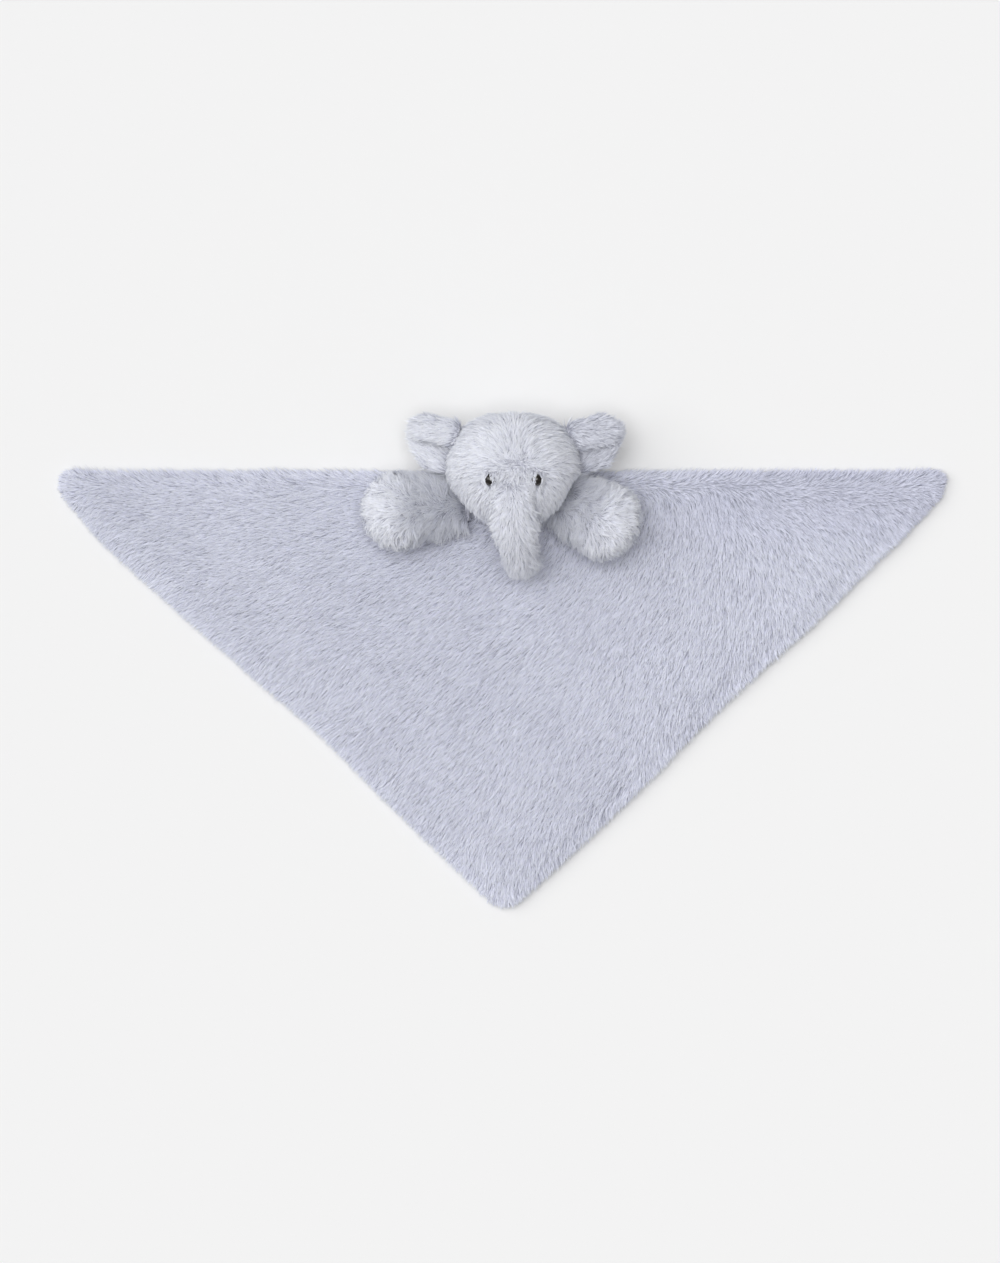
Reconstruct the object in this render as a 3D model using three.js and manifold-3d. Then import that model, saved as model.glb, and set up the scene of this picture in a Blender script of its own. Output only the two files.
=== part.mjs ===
// Plush elephant comforter: a flat triangular blanket with a stuffed head and two stuffed arms at
// the middle of its long edge. It lies on its back panel with the face looking up.
// Millimetres, +Z up, +X to the right, -Y towards the blanket's point. The origin is on the flat
// underside of the back panel, below the neck, a little inside the middle of the long edge.

import * as THREE from 'three';
import { mergeVertices } from 'three/addons/utils/BufferGeometryUtils.js';
import Module from 'manifold-3d';

const wasm = await Module();
wasm.setup();

// Fits: the gap between pieces that lie on or in each other
const clearance = 0.3;

// Blanket: two plush triangles sewn together all round
const blanketLength = 478;
const blanketSlant = THREE.MathUtils.degToRad(42.7);
const blanketEdgeY = 12.5;
const blanketCornerRadius = 11;
const panelThickness = 4.6;
const panelSeamThickness = 1.4;
const panelRimWidth = 9;
const foldDepth = 1.6;
const foldSpacing = 92;
const foldRunIn = 31;
const foldDirection = THREE.MathUtils.degToRad(38);
const flatLength = 190;
const flatDepth = 80;

// Head: lies on its back, crown towards +Y, chin towards -Y, its middle just past the long edge
const headX = 5;
const headPastEdge = 0;
const headWidth = 70;
const headLength = 61.5;
const headDepth = 61;
const crownFullness = 2.4;
const chinTaper = 0.22;
const coverWall = 3;

// Neck: a short gathered stub, wider than long, sewn to the head and to the blanket
const neckInset = 0.5;
const neckWidth = 30;
const neckLength = 16;
const neckHeight = 4;
const neckOpeningDiameter = 12;

// Trunk: springs from the face and droops on to the blanket. Its line gives shares of its reach,
// of its run to the side and of its fall. Its profiles give shares of its length and of its size.
const trunkRootY = -6;
const trunkRootRise = 24;
const trunkReach = 47.5;
const trunkSideways = 6;
const trunkWidth = 21;
const trunkThickness = 20;
const trunkLine = [[0, 0, 0], [0.26, 0, 0.05], [0.56, 0.25, 0.28], [0.82, 0.72, 0.66], [1, 1, 1]];
const trunkWidthProfile = [[0, 0.7], [0.3, 0.92], [0.65, 1], [0.85, 0.98], [1, 0.8]];
const trunkDepthProfile = [[0, 0.5], [0.3, 0.85], [0.65, 1], [0.85, 0.92], [1, 0.8]];
const trunkRoundFrom = 0.78;

// Ears: two layers of plush sewn to the side of the head, with the top folded forward. The
// profile gives shares of the way round the fold and of the reach.
const earRootLow = -1;
const earRootHigh = 19.5;
const earDrop = 3;
const earReach = 27.4;
const earLayerThickness = 2.5;
const earRimWidth = 3;
const earRimFullness = 0.3;
const earLength = 40.5;
const earFlapPinch = 0.12;
const earCup = 1.5;
const leftEarFoldRadius = 4.2;
const rightEarFoldRadius = 3.4;
const leftEarDroop = THREE.MathUtils.degToRad(30);
const rightEarDroop = THREE.MathUtils.degToRad(18);
const earProfile = [[0, 0.5], [0.15, 0.74], [0.32, 0.95], [0.44, 1], [0.68, 0.7], [0.84, 0.86], [1, 0.62]];

// Arms: flat where they are sewn down, swelling to a round paw. The profile gives shares of the
// length and of the way from the root's size to the paw's. The right arm is bunched up a little,
// so it reaches less far.
const armRootWidth = 26;
const armRootThickness = 8;
const pawWidth = 41;
const pawThickness = 36;
const pawFrom = 0.72;
const pawRoundFrom = 0.68;
const pawTipShare = 0.85;
const armSwell = [[0, 0], [0.2, 0.26], [0.5, 0.68], [pawFrom, 1], [1, pawTipShare]];
const leftArmLength = 56;
const leftArmX = -20;
const leftArmY = -2;
const leftArmYaw = THREE.MathUtils.degToRad(190);
const rightArmLength = 50;
const rightArmX = 25.5;
const rightArmY = 0.5;
const rightArmYaw = THREE.MathUtils.degToRad(-27);

// Eyes: hard beads on a shank, held inside the head by a lock washer
const eyeDiameter = 6.4;
const eyeDome = 2.6;
const eyeSink = 0.8;
const eyeShankDiameter = 2.6;
const eyeShankEnd = 1.6;
const eyeSpacing = 25;
const eyeBelowCentre = 5.2;
const washerDiameter = 10;
const washerThickness = 1.4;

// Places that follow from what lies on what
const blanketTop = 2 * panelThickness + clearance;
const neckY = blanketEdgeY - neckInset - neckLength / 2;
const neckBase = blanketTop + clearance;
const headY = blanketEdgeY + headPastEdge;
const headFloor = neckBase + neckHeight + clearance;
const headZ = blanketTop + clearance + headDepth / 2;

// How finely the soft forms are faceted
const outlinePoints = 72;
const rimSteps = 3;
const foldRings = 5;
const headFacets = { rings: 11, segments: 22 };
const trunkFacets = { rings: 9, segments: 14 };
const armFacets = { rings: 8, segments: 14 };
const earFacets = { columns: 6, rows: 12 };
const turnedFacets = 16;

// Materials
const plush = (color) => new THREE.MeshStandardMaterial({ color, roughness: 0.95, metalness: 0 });
const blanketPlush = plush(0xc6c8d8);
const headPlush = plush(0xd6d8e4);
const fibreFill = new THREE.MeshStandardMaterial({ color: 0xf2f2ee, roughness: 1, metalness: 0 });
const eyeBead = new THREE.MeshStandardMaterial({ color: 0x1e1814, roughness: 0.15, metalness: 0 });
const washerPlastic = new THREE.MeshStandardMaterial({ color: 0xe8e8e8, roughness: 0.5, metalness: 0 });

// A closed body from rings of points with a point at each end, its faces turned outwards
function bodyFromRings(firstPole, rings, lastPole) {
  const segments = rings[0].length;
  const points = [firstPole, ...rings.flat(), lastPole];
  const last = points.length - 1;
  const triangles = [];
  for (let i = 0; i < segments; i += 1) {
    const next = (i + 1) % segments;
    triangles.push([0, 1 + i, 1 + next]);
    for (let ring = 0; ring < rings.length - 1; ring += 1) {
      const here = 1 + ring * segments;
      const beyond = here + segments;
      triangles.push([here + i, beyond + i, here + next]);
      triangles.push([here + next, beyond + i, beyond + next]);
    }
    const end = 1 + (rings.length - 1) * segments;
    triangles.push([last, end + next, end + i]);
  }
  return outwardGeometry(points, triangles);
}

// Turns every face over when the body's signed volume is negative
function outwardGeometry(points, triangles) {
  let volume = 0;
  for (const [a, b, c] of triangles) {
    volume += points[a].dot(new THREE.Vector3().crossVectors(points[b], points[c]));
  }
  const ordered = volume < 0 ? triangles.map(([a, b, c]) => [a, c, b]) : triangles;
  const geometry = new THREE.BufferGeometry();
  geometry.setAttribute('position', new THREE.Float32BufferAttribute(points.flatMap((p) => p.toArray()), 3));
  geometry.setIndex(ordered.flat());
  return geometry;
}

// Closed geometry to solid and back, for cuts. Points that lie together become one first, and the
// empty triangles that this leaves where a turned piece meets its axis are dropped.
function toSolid(geometry) {
  const bare = geometry.clone();
  bare.deleteAttribute('normal');
  bare.deleteAttribute('uv');
  const merged = mergeVertices(bare);
  const corners = Array.from(merged.getIndex().array);
  const kept = [];
  for (let i = 0; i < corners.length; i += 3) {
    const [a, b, c] = corners.slice(i, i + 3);
    if (a !== b && b !== c && c !== a) kept.push(a, b, c);
  }
  const vertProperties = Float32Array.from(merged.getAttribute('position').array);
  const triVerts = Uint32Array.from(kept);
  return new wasm.Manifold(new wasm.Mesh({ numProp: 3, vertProperties, triVerts }));
}

function toGeometry(solid) {
  const mesh = solid.getMesh();
  const geometry = new THREE.BufferGeometry();
  geometry.setAttribute('position', new THREE.BufferAttribute(Float32Array.from(mesh.vertProperties), 3));
  geometry.setIndex(Array.from(mesh.triVerts));
  return geometry;
}

// A smooth curve of one value through [position, value] stations
function through(stations) {
  const slope = (i) => {
    const before = stations[Math.max(i - 1, 0)];
    const after = stations[Math.min(i + 1, stations.length - 1)];
    return (after[1] - before[1]) / (after[0] - before[0]);
  };
  return (t) => {
    let i = 0;
    while (i < stations.length - 2 && t > stations[i + 1][0]) i += 1;
    const span = stations[i + 1][0] - stations[i][0];
    const x = THREE.MathUtils.clamp((t - stations[i][0]) / span, 0, 1);
    const rise = x * x * (3 - 2 * x);
    const leave = x * (1 - x) * (1 - x) * span * slope(i);
    const arrive = x * x * (x - 1) * span * slope(i + 1);
    return stations[i][1] * (1 - rise) + stations[i + 1][1] * rise + leave + arrive;
  };
}

// One elliptical ring of points
function ellipseRing(centre, side, up, halfWidth, halfDepth, segments) {
  const ring = [];
  for (let i = 0; i < segments; i += 1) {
    const angle = (2 * Math.PI * i) / segments;
    const point = centre.clone();
    point.addScaledVector(side, halfWidth * Math.cos(angle));
    point.addScaledVector(up, halfDepth * Math.sin(angle));
    ring.push(point);
  }
  return ring;
}

// A limb along a curve: flat at its root, round at its tip. wall shrinks it to the space inside,
// and rootRun moves its root back along its line.
function limb(curve, halfWidth, halfDepth, wall, rootRun, facets) {
  const tipTrim = wall / curve.getLength();
  const leastShare = 0.2;
  const tipCrowding = 1.5;
  const sections = [];
  let rootCentre;
  for (let i = 0; i < facets.rings; i += 1) {
    const t = 1 - (1 - i / facets.rings) ** tipCrowding;
    const forward = curve.getTangentAt(t);
    const side = new THREE.Vector3().crossVectors(forward, new THREE.Vector3(0, 0, 1)).normalize();
    const up = new THREE.Vector3().crossVectors(side, forward);
    const centre = curve.getPointAt(t * (1 - tipTrim));
    if (i === 0) {
      centre.addScaledVector(forward, -rootRun);
      rootCentre = centre;
    }
    const shrink = (half) => Math.max(half - wall, leastShare * half);
    sections.push(ellipseRing(centre, side, up, shrink(halfWidth(t)), shrink(halfDepth(t)), facets.segments));
  }
  return bodyFromRings(rootCentre, sections, curve.getPointAt(1 - tipTrim));
}

// Rounds the last part of a limb
function tipRound(t, from) {
  return t < from ? 1 : Math.sqrt(Math.max(0, 1 - ((t - from) / (1 - from)) ** 2));
}

// Blanket outline: a triangle lying on its long edge, with round corners. Its length is measured
// over the rounded tips, and the sharp corners that the slant edges aim at lie further out.
function blanketOutline() {
  const radius = blanketCornerRadius;
  const half = blanketLength / 2 - radius + radius / Math.tan(blanketSlant / 2);
  const point = half * Math.tan(blanketSlant);
  const tipX = blanketLength / 2 - radius;
  const pointY = radius / Math.cos(blanketSlant) - point;
  const square = Math.PI / 2;
  const tipTurn = Math.PI + square - blanketSlant;
  const outline = new THREE.Path();
  outline.absarc(-tipX, -radius, radius, square, tipTurn, false);
  outline.absarc(0, pointY, radius, tipTurn, blanketSlant - square, false);
  outline.absarc(tipX, -radius, radius, blanketSlant - square, square, false);
  outline.closePath();
  const inradius = (half * point) / (half + half / Math.cos(blanketSlant));
  const points = outline.getSpacedPoints(outlinePoints).slice(0, -1);
  return { points, centre: new THREE.Vector2(0, -inradius), inradius };
}

// Shallow troughs in the blanket, none under the head and arms
function blanketFold(x, y) {
  const across = x * Math.cos(foldDirection) + y * Math.sin(foldDirection);
  const wave = 0.5 - 0.5 * Math.cos((2 * Math.PI * across) / foldSpacing);
  const beyondX = Math.abs(x - headX) - flatLength / 2;
  const beyondY = -flatDepth - y;
  const away = THREE.MathUtils.smoothstep(Math.max(beyondX, beyondY), 0, foldRunIn);
  return foldDepth * wave * away;
}

// One blanket panel: flat where it meets the other, rounded down to the seam at its rim
function blanketPanel(side, isFolded) {
  const { points, centre, inradius } = blanketOutline();
  const seamLevel = panelThickness + clearance / 2;
  const meeting = seamLevel + (side * clearance) / 2;
  const inset = [];
  for (let i = 0; i <= rimSteps; i += 1) {
    const turn = (Math.PI / 2) * (i / rimSteps);
    const height = panelSeamThickness + (panelThickness - panelSeamThickness) * Math.sin(turn);
    inset.push([panelRimWidth * (1 - Math.cos(turn)), height]);
  }
  const innerRings = isFolded ? foldRings : 1;
  for (let i = 1; i <= innerRings; i += 1) {
    const run = (inradius - panelRimWidth) * (i / (innerRings + 1));
    inset.push([panelRimWidth + run, panelThickness]);
  }
  const place = (point, distance, height) => {
    const scale = 1 - distance / inradius;
    const x = centre.x + (point.x - centre.x) * scale;
    const y = centre.y + (point.y - centre.y) * scale;
    const fold = isFolded && distance >= panelRimWidth ? blanketFold(x, y + blanketEdgeY) : 0;
    return new THREE.Vector3(x, y + blanketEdgeY, meeting + side * Math.max(height - fold, 0));
  };
  const outer = inset.map(([distance, height]) => points.map((point) => place(point, distance, height)));
  const under = [points.map((point) => place(point, 0, 0))];
  const middle = centre.clone();
  const apex = place(middle, 0, panelThickness);
  return bodyFromRings(place(middle, 0, 0), [...under, ...outer], apex);
}

// Head: rings from the crown to the chin, fuller at the crown and tapered to the chin
function headHalf(s, size) {
  const fullness = s < 0 ? crownFullness : 2;
  const round = Math.max(0, 1 - Math.abs(s) ** fullness) ** (1 / fullness);
  return (size / 2) * round * (1 - chinTaper * Math.max(s, 0));
}

function headBody(inset) {
  const halfLength = headLength / 2 - inset;
  const side = new THREE.Vector3(1, 0, 0);
  const up = new THREE.Vector3(0, 0, 1);
  const sections = [];
  for (let i = 1; i <= headFacets.rings; i += 1) {
    const s = -Math.cos((Math.PI * i) / (headFacets.rings + 1));
    const centre = new THREE.Vector3(0, -s * halfLength, 0);
    const halfWidth = headHalf(s, headWidth - 2 * inset);
    const halfDepth = headHalf(s, headDepth - 2 * inset);
    sections.push(ellipseRing(centre, side, up, halfWidth, halfDepth, headFacets.segments));
  }
  const crown = new THREE.Vector3(0, halfLength, 0);
  return bodyFromRings(crown, sections, new THREE.Vector3(0, -halfLength, 0));
}

// How far the head reaches to the side at a place along it and a height
function headSide(y, z) {
  const s = -y / (headLength / 2);
  const share = z / headHalf(s, headDepth);
  return headHalf(s, headWidth) * Math.sqrt(Math.max(0, 1 - share * share));
}

// Height and outward direction of the face at a place on the head
function headHeight(x, y, inset = 0) {
  const s = -y / (headLength / 2 - inset);
  const share = x / headHalf(s, headWidth - 2 * inset);
  return headHalf(s, headDepth - 2 * inset) * Math.sqrt(Math.max(0, 1 - share * share));
}

function headNormal(x, y) {
  const step = 0.5;
  const slopeX = (headHeight(x + step, y) - headHeight(x - step, y)) / (2 * step);
  const slopeY = (headHeight(x, y + step) - headHeight(x, y - step)) / (2 * step);
  return new THREE.Vector3(-slopeX, -slopeY, 1).normalize();
}

// Everything below a level, to cut the flat under the head where the neck is sewn
function belowLevel(level) {
  const block = new THREE.BoxGeometry(2 * headWidth, 2 * headLength, headDepth);
  block.translate(0, 0, level - headDepth / 2);
  return toSolid(block);
}

// Eyes: profiles turned about the shank, +Z out of the face
function turned(profile) {
  const geometry = new THREE.LatheGeometry(profile.map(([r, z]) => new THREE.Vector2(r, z)), turnedFacets);
  return geometry.rotateX(Math.PI / 2);
}

function eyeProfile(seat, grow) {
  const radius = eyeDiameter / 2 + grow;
  const shank = eyeShankDiameter / 2 + grow;
  const end = -seat - washerThickness - eyeShankEnd - grow;
  const profile = [[0, end], [shank, end], [shank, -eyeSink - grow], [radius, -eyeSink - grow]];
  const domeSteps = 5;
  for (let i = 0; i <= domeSteps; i += 1) {
    const turn = (Math.PI / 2) * (i / domeSteps);
    profile.push([radius * Math.cos(turn), (eyeDome + grow) * Math.sin(turn)]);
  }
  return profile;
}

function washerProfile(seat) {
  const inner = eyeShankDiameter / 2 + clearance;
  const outer = washerDiameter / 2;
  const bottom = -seat - washerThickness;
  return [[inner, bottom], [outer, bottom], [outer, -seat], [inner, -seat], [inner, bottom]];
}

// The room that the shank and its washer need inside the stuffing
function eyeRoomProfile(seat) {
  const depth = -seat - washerThickness - eyeShankEnd - clearance;
  const radius = washerDiameter / 2 + clearance;
  return [[0, depth], [radius, depth], [radius, 0], [0, 0]];
}

// How far below the face a washer's flat clears the inside of the cover
function washerSeat(x, y) {
  const normal = headNormal(x, y);
  const side = new THREE.Vector3(1, 0, 0).cross(normal).normalize();
  const face = new THREE.Vector3(x, y, headHeight(x, y));
  const around = 24;
  let seat = 0;
  for (let i = 0; i < around; i += 1) {
    const rim = side.clone().applyAxisAngle(normal, (2 * Math.PI * i) / around);
    rim.multiplyScalar(washerDiameter / 2).add(face);
    seat = Math.max(seat, (rim.z - headHeight(rim.x, rim.y, coverWall)) / normal.z);
  }
  return seat + 2 * clearance;
}

// The place of a shank on the face, pointing straight out of it
function facePlace(x, y) {
  const turn = new THREE.Quaternion().setFromUnitVectors(new THREE.Vector3(0, 0, 1), headNormal(x, y));
  const place = new THREE.Matrix4().makeRotationFromQuaternion(turn);
  return place.setPosition(x, y, headHeight(x, y));
}

// Trunk: its line runs over the face, past the chin and down to the blanket
function trunkCurve() {
  const tipDepth = trunkThickness * trunkDepthProfile.at(-1)[1];
  const tipZ = blanketTop + 2 * clearance + tipDepth / 2 - headZ;
  const points = trunkLine.map(([out, aside, fall]) => {
    return new THREE.Vector3(
      aside * trunkSideways,
      trunkRootY - out * trunkReach,
      THREE.MathUtils.lerp(trunkRootRise, tipZ, fall),
    );
  });
  return new THREE.CatmullRomCurve3(points);
}

function trunkBody(wall, rootRun) {
  const width = through(trunkWidthProfile);
  const depth = through(trunkDepthProfile);
  const halfWidth = (t) => (trunkWidth / 2) * width(t) * tipRound(t, trunkRoundFrom);
  const halfDepth = (t) => (trunkThickness / 2) * depth(t) * tipRound(t, trunkRoundFrom);
  return toSolid(limb(trunkCurve(), halfWidth, halfDepth, wall, rootRun, trunkFacets));
}

// Arm: made along +X from its sewn root, its underside lying flat on the blanket
function armBody(length, wall, rootRun) {
  const swell = (root, paw) => armSwell.map(([t, share]) => [t, THREE.MathUtils.lerp(root, paw, share)]);
  const width = through(swell(armRootWidth, pawWidth));
  const thickness = through(swell(armRootThickness, pawThickness));
  const halfWidth = (t) => (width(t) / 2) * tipRound(t, pawRoundFrom);
  const halfDepth = (t) => (thickness(t) / 2) * tipRound(t, pawRoundFrom);
  const height = (t) => thickness(Math.min(t, pawFrom)) / 2;
  const points = armSwell.map(([t]) => new THREE.Vector3(length * t, 0, height(t)));
  return toSolid(limb(new THREE.CatmullRomCurve3(points), halfWidth, halfDepth, wall, rootRun, armFacets));
}

// Ear: its root is a straight chord between two places on the side of the head, which bulges
// past the chord between them
function earRoot() {
  const low = new THREE.Vector2(headSide(earRootLow, earDrop) + 2 * clearance, earRootLow);
  const high = new THREE.Vector2(headSide(earRootHigh, earDrop) + 2 * clearance, earRootHigh);
  const middle = low.clone().add(high).divideScalar(2);
  const tilt = Math.atan2(low.x - high.x, high.y - low.y);
  const bulge = (headSide(middle.y, earDrop) + 2 * clearance - middle.x) * Math.cos(tilt);
  return { low, length: low.distanceTo(high), tilt, bulge };
}

// The ear's middle surface: out from the root, up along it, and forward where the top folds over
function earSurface(side, foldRadius, droop, root) {
  const bend = Math.PI * foldRadius;
  const reach = through(earProfile);
  return (a, b) => {
    const along = b * earLength;
    const turn = THREE.MathUtils.clamp((along - root.length) / foldRadius, 0, Math.PI);
    const beyond = Math.max(along - root.length - bend, 0);
    const up = Math.min(along, root.length) + foldRadius * Math.sin(turn) - beyond;
    const fromMiddle = Math.min(Math.abs((2 * up) / root.length - 1), 1);
    const fold = foldRadius * (1 - Math.cos(turn));
    const start = root.bulge * (1 - fromMiddle ** 2) - fold * Math.tan(droop);
    const out = start + a * (earReach * reach(b) - start);
    const share = out / earReach;
    const forward = fold * (1 - earFlapPinch * share) - earCup * share ** 2;
    return new THREE.Vector3(side * out, up, forward);
  };
}

// A sewn layer on one face of the ear's middle surface, thinned towards its rim
function earLayer(surface, side, face) {
  const { columns, rows } = earFacets;
  const step = 1e-3;
  const normalAt = (a, b) => {
    const alongA = surface(Math.min(a + step, 1), b).sub(surface(Math.max(a - step, 0), b));
    const alongB = surface(a, Math.min(b + step, 1)).sub(surface(a, Math.max(b - step, 0)));
    return alongA.cross(alongB).normalize().multiplyScalar(side * face);
  };
  const points = [];
  for (let i = 0; i <= columns; i += 1) {
    for (let j = 0; j <= rows; j += 1) {
      const a = 0.5 - 0.5 * Math.cos((Math.PI * i) / columns);
      const b = j / rows;
      const fromSide = Math.min(a, 1 - a) * earReach;
      const fromEnd = Math.min(b, 1 - b) * earLength;
      const fromRim = Math.min(fromSide, fromEnd, earRimWidth) / earRimWidth;
      const fullness = THREE.MathUtils.lerp(earRimFullness, 1, Math.sin((Math.PI / 2) * fromRim));
      const inner = surface(a, b).addScaledVector(normalAt(a, b), clearance / 2);
      points.push(inner, inner.clone().addScaledVector(normalAt(a, b), earLayerThickness * fullness));
    }
  }
  const index = (i, j, k) => (i * (rows + 1) + j) * 2 + k;
  const triangles = [];
  const quad = (p, q, r, s) => triangles.push([p, q, r], [p, r, s]);
  for (let i = 0; i < columns; i += 1) {
    for (let j = 0; j < rows; j += 1) {
      quad(index(i, j, 0), index(i, j + 1, 0), index(i + 1, j + 1, 0), index(i + 1, j, 0));
      quad(index(i, j, 1), index(i + 1, j, 1), index(i + 1, j + 1, 1), index(i, j + 1, 1));
    }
  }
  for (let j = 0; j < rows; j += 1) {
    quad(index(0, j, 0), index(0, j, 1), index(0, j + 1, 1), index(0, j + 1, 0));
    quad(index(columns, j, 0), index(columns, j + 1, 0), index(columns, j + 1, 1), index(columns, j, 1));
  }
  for (let i = 0; i < columns; i += 1) {
    quad(index(i, 0, 0), index(i + 1, 0, 0), index(i + 1, 0, 1), index(i, 0, 1));
    quad(index(i, rows, 0), index(i, rows, 1), index(i + 1, rows, 1), index(i + 1, rows, 0));
  }
  return outwardGeometry(points, triangles);
}

// The assembly
const comforter = new THREE.Group();

function add(parent, name, geometry, material) {
  const mesh = new THREE.Mesh(geometry, material);
  mesh.name = name;
  parent.add(mesh);
  return mesh;
}

// Blanket
add(comforter, 'blanket_front_panel', blanketPanel(1, true), blanketPlush);
add(comforter, 'blanket_back_panel', blanketPanel(-1, false), blanketPlush);

// Neck
const neckShape = new THREE.Shape();
neckShape.absellipse(headX, neckY, neckWidth / 2, neckLength / 2, 0, 2 * Math.PI);
const neckGeometry = new THREE.ExtrudeGeometry(neckShape, { depth: neckHeight, bevelEnabled: false });
neckGeometry.translate(0, 0, neckBase);
add(comforter, 'neck', neckGeometry, headPlush);

// Head, with the neck opening and the eyes' holes cut in its cover
const head = new THREE.Group();
head.position.set(headX, headY, headZ);
comforter.add(head);

const neckOpening = new THREE.CylinderGeometry(
  neckOpeningDiameter / 2,
  neckOpeningDiameter / 2,
  headDepth,
  turnedFacets,
);
neckOpening.rotateX(Math.PI / 2);
neckOpening.translate(0, neckY - headY, -headDepth / 2);

const floorLevel = headFloor - headZ;
const insideCover = toSolid(headBody(coverWall)).subtract(belowLevel(floorLevel + coverWall));
let headCover = toSolid(headBody(0)).subtract(insideCover);
headCover = headCover.subtract(belowLevel(floorLevel)).subtract(toSolid(neckOpening));
let headStuffing = toSolid(headBody(coverWall + clearance));
headStuffing = headStuffing.subtract(belowLevel(floorLevel + coverWall + clearance));

for (const [name, x] of [['left', -eyeSpacing / 2], ['right', eyeSpacing / 2]]) {
  const seat = washerSeat(x, -eyeBelowCentre);
  const place = facePlace(x, -eyeBelowCentre);
  headCover = headCover.subtract(toSolid(turned(eyeProfile(seat, clearance)).applyMatrix4(place)));
  headStuffing = headStuffing.subtract(toSolid(turned(eyeRoomProfile(seat)).applyMatrix4(place)));
  add(head, `${name}_eye`, turned(eyeProfile(seat, 0)), eyeBead).applyMatrix4(place);
  add(head, `${name}_eye_washer`, turned(washerProfile(seat)), washerPlastic).applyMatrix4(place);
}
add(head, 'head_cover', toGeometry(headCover), headPlush);
add(head, 'head_stuffing', toGeometry(headStuffing), fibreFill);

// Trunk, cut by the head
const trunkCover = trunkBody(0, 0).subtract(toSolid(headBody(-clearance))).subtract(trunkBody(coverWall, 1));
const trunkStuffing = trunkBody(coverWall + clearance, 0).subtract(toSolid(headBody(-2 * clearance)));
add(head, 'trunk_cover', toGeometry(trunkCover), headPlush);
add(head, 'trunk_stuffing', toGeometry(trunkStuffing), fibreFill);

// Ears, sewn to the sides of the head and cut by it
const root = earRoot();
const earSides = [
  ['left', -1, leftEarFoldRadius, leftEarDroop],
  ['right', 1, rightEarFoldRadius, rightEarDroop],
];
for (const [name, side, foldRadius, droop] of earSides) {
  const ear = new THREE.Group();
  ear.position.set(side * root.low.x, root.low.y, -earDrop);
  ear.rotation.set(0, side * droop, side * root.tilt, 'ZYX');
  ear.updateMatrix();
  head.add(ear);
  const headRoom = toSolid(headBody(-clearance).applyMatrix4(ear.matrix.clone().invert()));
  const surface = earSurface(side, foldRadius, droop, root);
  const back = toSolid(earLayer(surface, side, -1)).subtract(headRoom);
  const lining = toSolid(earLayer(surface, side, 1)).subtract(headRoom);
  add(ear, `${name}_ear_back`, toGeometry(back), headPlush);
  add(ear, `${name}_ear_lining`, toGeometry(lining), headPlush);
}

// Arms, each lying on the blanket
const armPlaces = [
  ['left', leftArmLength, leftArmX, leftArmY, leftArmYaw],
  ['right', rightArmLength, rightArmX, rightArmY, rightArmYaw],
];
for (const [name, length, x, y, yaw] of armPlaces) {
  const arm = new THREE.Group();
  arm.position.set(x, y, blanketTop + clearance);
  arm.rotation.z = yaw;
  comforter.add(arm);
  const cover = armBody(length, 0, 0).subtract(armBody(length, coverWall, 1));
  const stuffing = armBody(length, coverWall + clearance, -clearance);
  add(arm, `${name}_arm_cover`, toGeometry(cover), headPlush);
  add(arm, `${name}_arm_stuffing`, toGeometry(stuffing), fibreFill);
}

export default comforter;
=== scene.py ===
"""Plush elephant comforter: the looks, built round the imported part.

Every soft form is a smooth closed mesh that stands for its CAD solid, covered with combed pile.
Lengths in this script are millimetres, and become metres where a mesh is made.
"""

import math

import bpy
import numpy as np
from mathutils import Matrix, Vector


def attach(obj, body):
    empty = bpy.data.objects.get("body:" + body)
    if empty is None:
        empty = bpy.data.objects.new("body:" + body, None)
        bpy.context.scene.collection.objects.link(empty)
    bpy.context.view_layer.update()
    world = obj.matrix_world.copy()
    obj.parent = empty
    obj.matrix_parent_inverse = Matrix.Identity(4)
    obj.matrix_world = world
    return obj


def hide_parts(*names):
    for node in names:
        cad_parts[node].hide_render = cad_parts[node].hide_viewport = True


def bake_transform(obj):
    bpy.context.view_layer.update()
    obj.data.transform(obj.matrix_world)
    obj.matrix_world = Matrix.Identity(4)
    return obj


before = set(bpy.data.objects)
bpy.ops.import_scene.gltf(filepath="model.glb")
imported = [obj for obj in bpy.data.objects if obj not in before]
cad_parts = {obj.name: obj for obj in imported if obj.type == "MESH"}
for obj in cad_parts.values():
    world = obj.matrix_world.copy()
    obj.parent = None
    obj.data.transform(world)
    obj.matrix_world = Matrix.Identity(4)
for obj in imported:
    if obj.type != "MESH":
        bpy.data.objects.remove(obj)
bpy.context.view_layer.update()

MM = 0.001
SEED = 20
rng = np.random.default_rng(SEED)

# The photograph: millimetres to a pixel, its height, and the pixel that lies at (0, EDGE_PIXEL_Y)
PIXEL = 0.536
PICTURE_HEIGHT = 1263
EDGE_PIXEL = (504, 470)
EDGE_PIXEL_Y = 14

# Sizes that repeat the part's own
CLEARANCE = 0.3
BLANKET_LENGTH = 478
SLANT = math.radians(42.7)
EDGE_Y = 12.5
CORNER = 11
PANEL = 4.6
FOLD_DEPTH = 1.6
FOLD_SPACING = 92
FOLD_DIRECTION = math.radians(38)
FOLD_RUN_IN = 31
FLAT_LENGTH = 190
FLAT_DEPTH = 80
BLANKET_TOP = 2 * PANEL + CLEARANCE
HEAD = np.array([5.0, 12.5, 40.3])
HEAD_WIDTH = 70
HEAD_LENGTH = 61.5
CROWN_FULLNESS = 2.4
HEAD_DEPTH = 61
HEAD_FLOOR = 14.1
CHIN_TAPER = 0.22
EYE_X = 12.5
EYE_Y = -5.2
EYE_RADIUS = 3.2
EYE_DOME = 2.6

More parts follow.
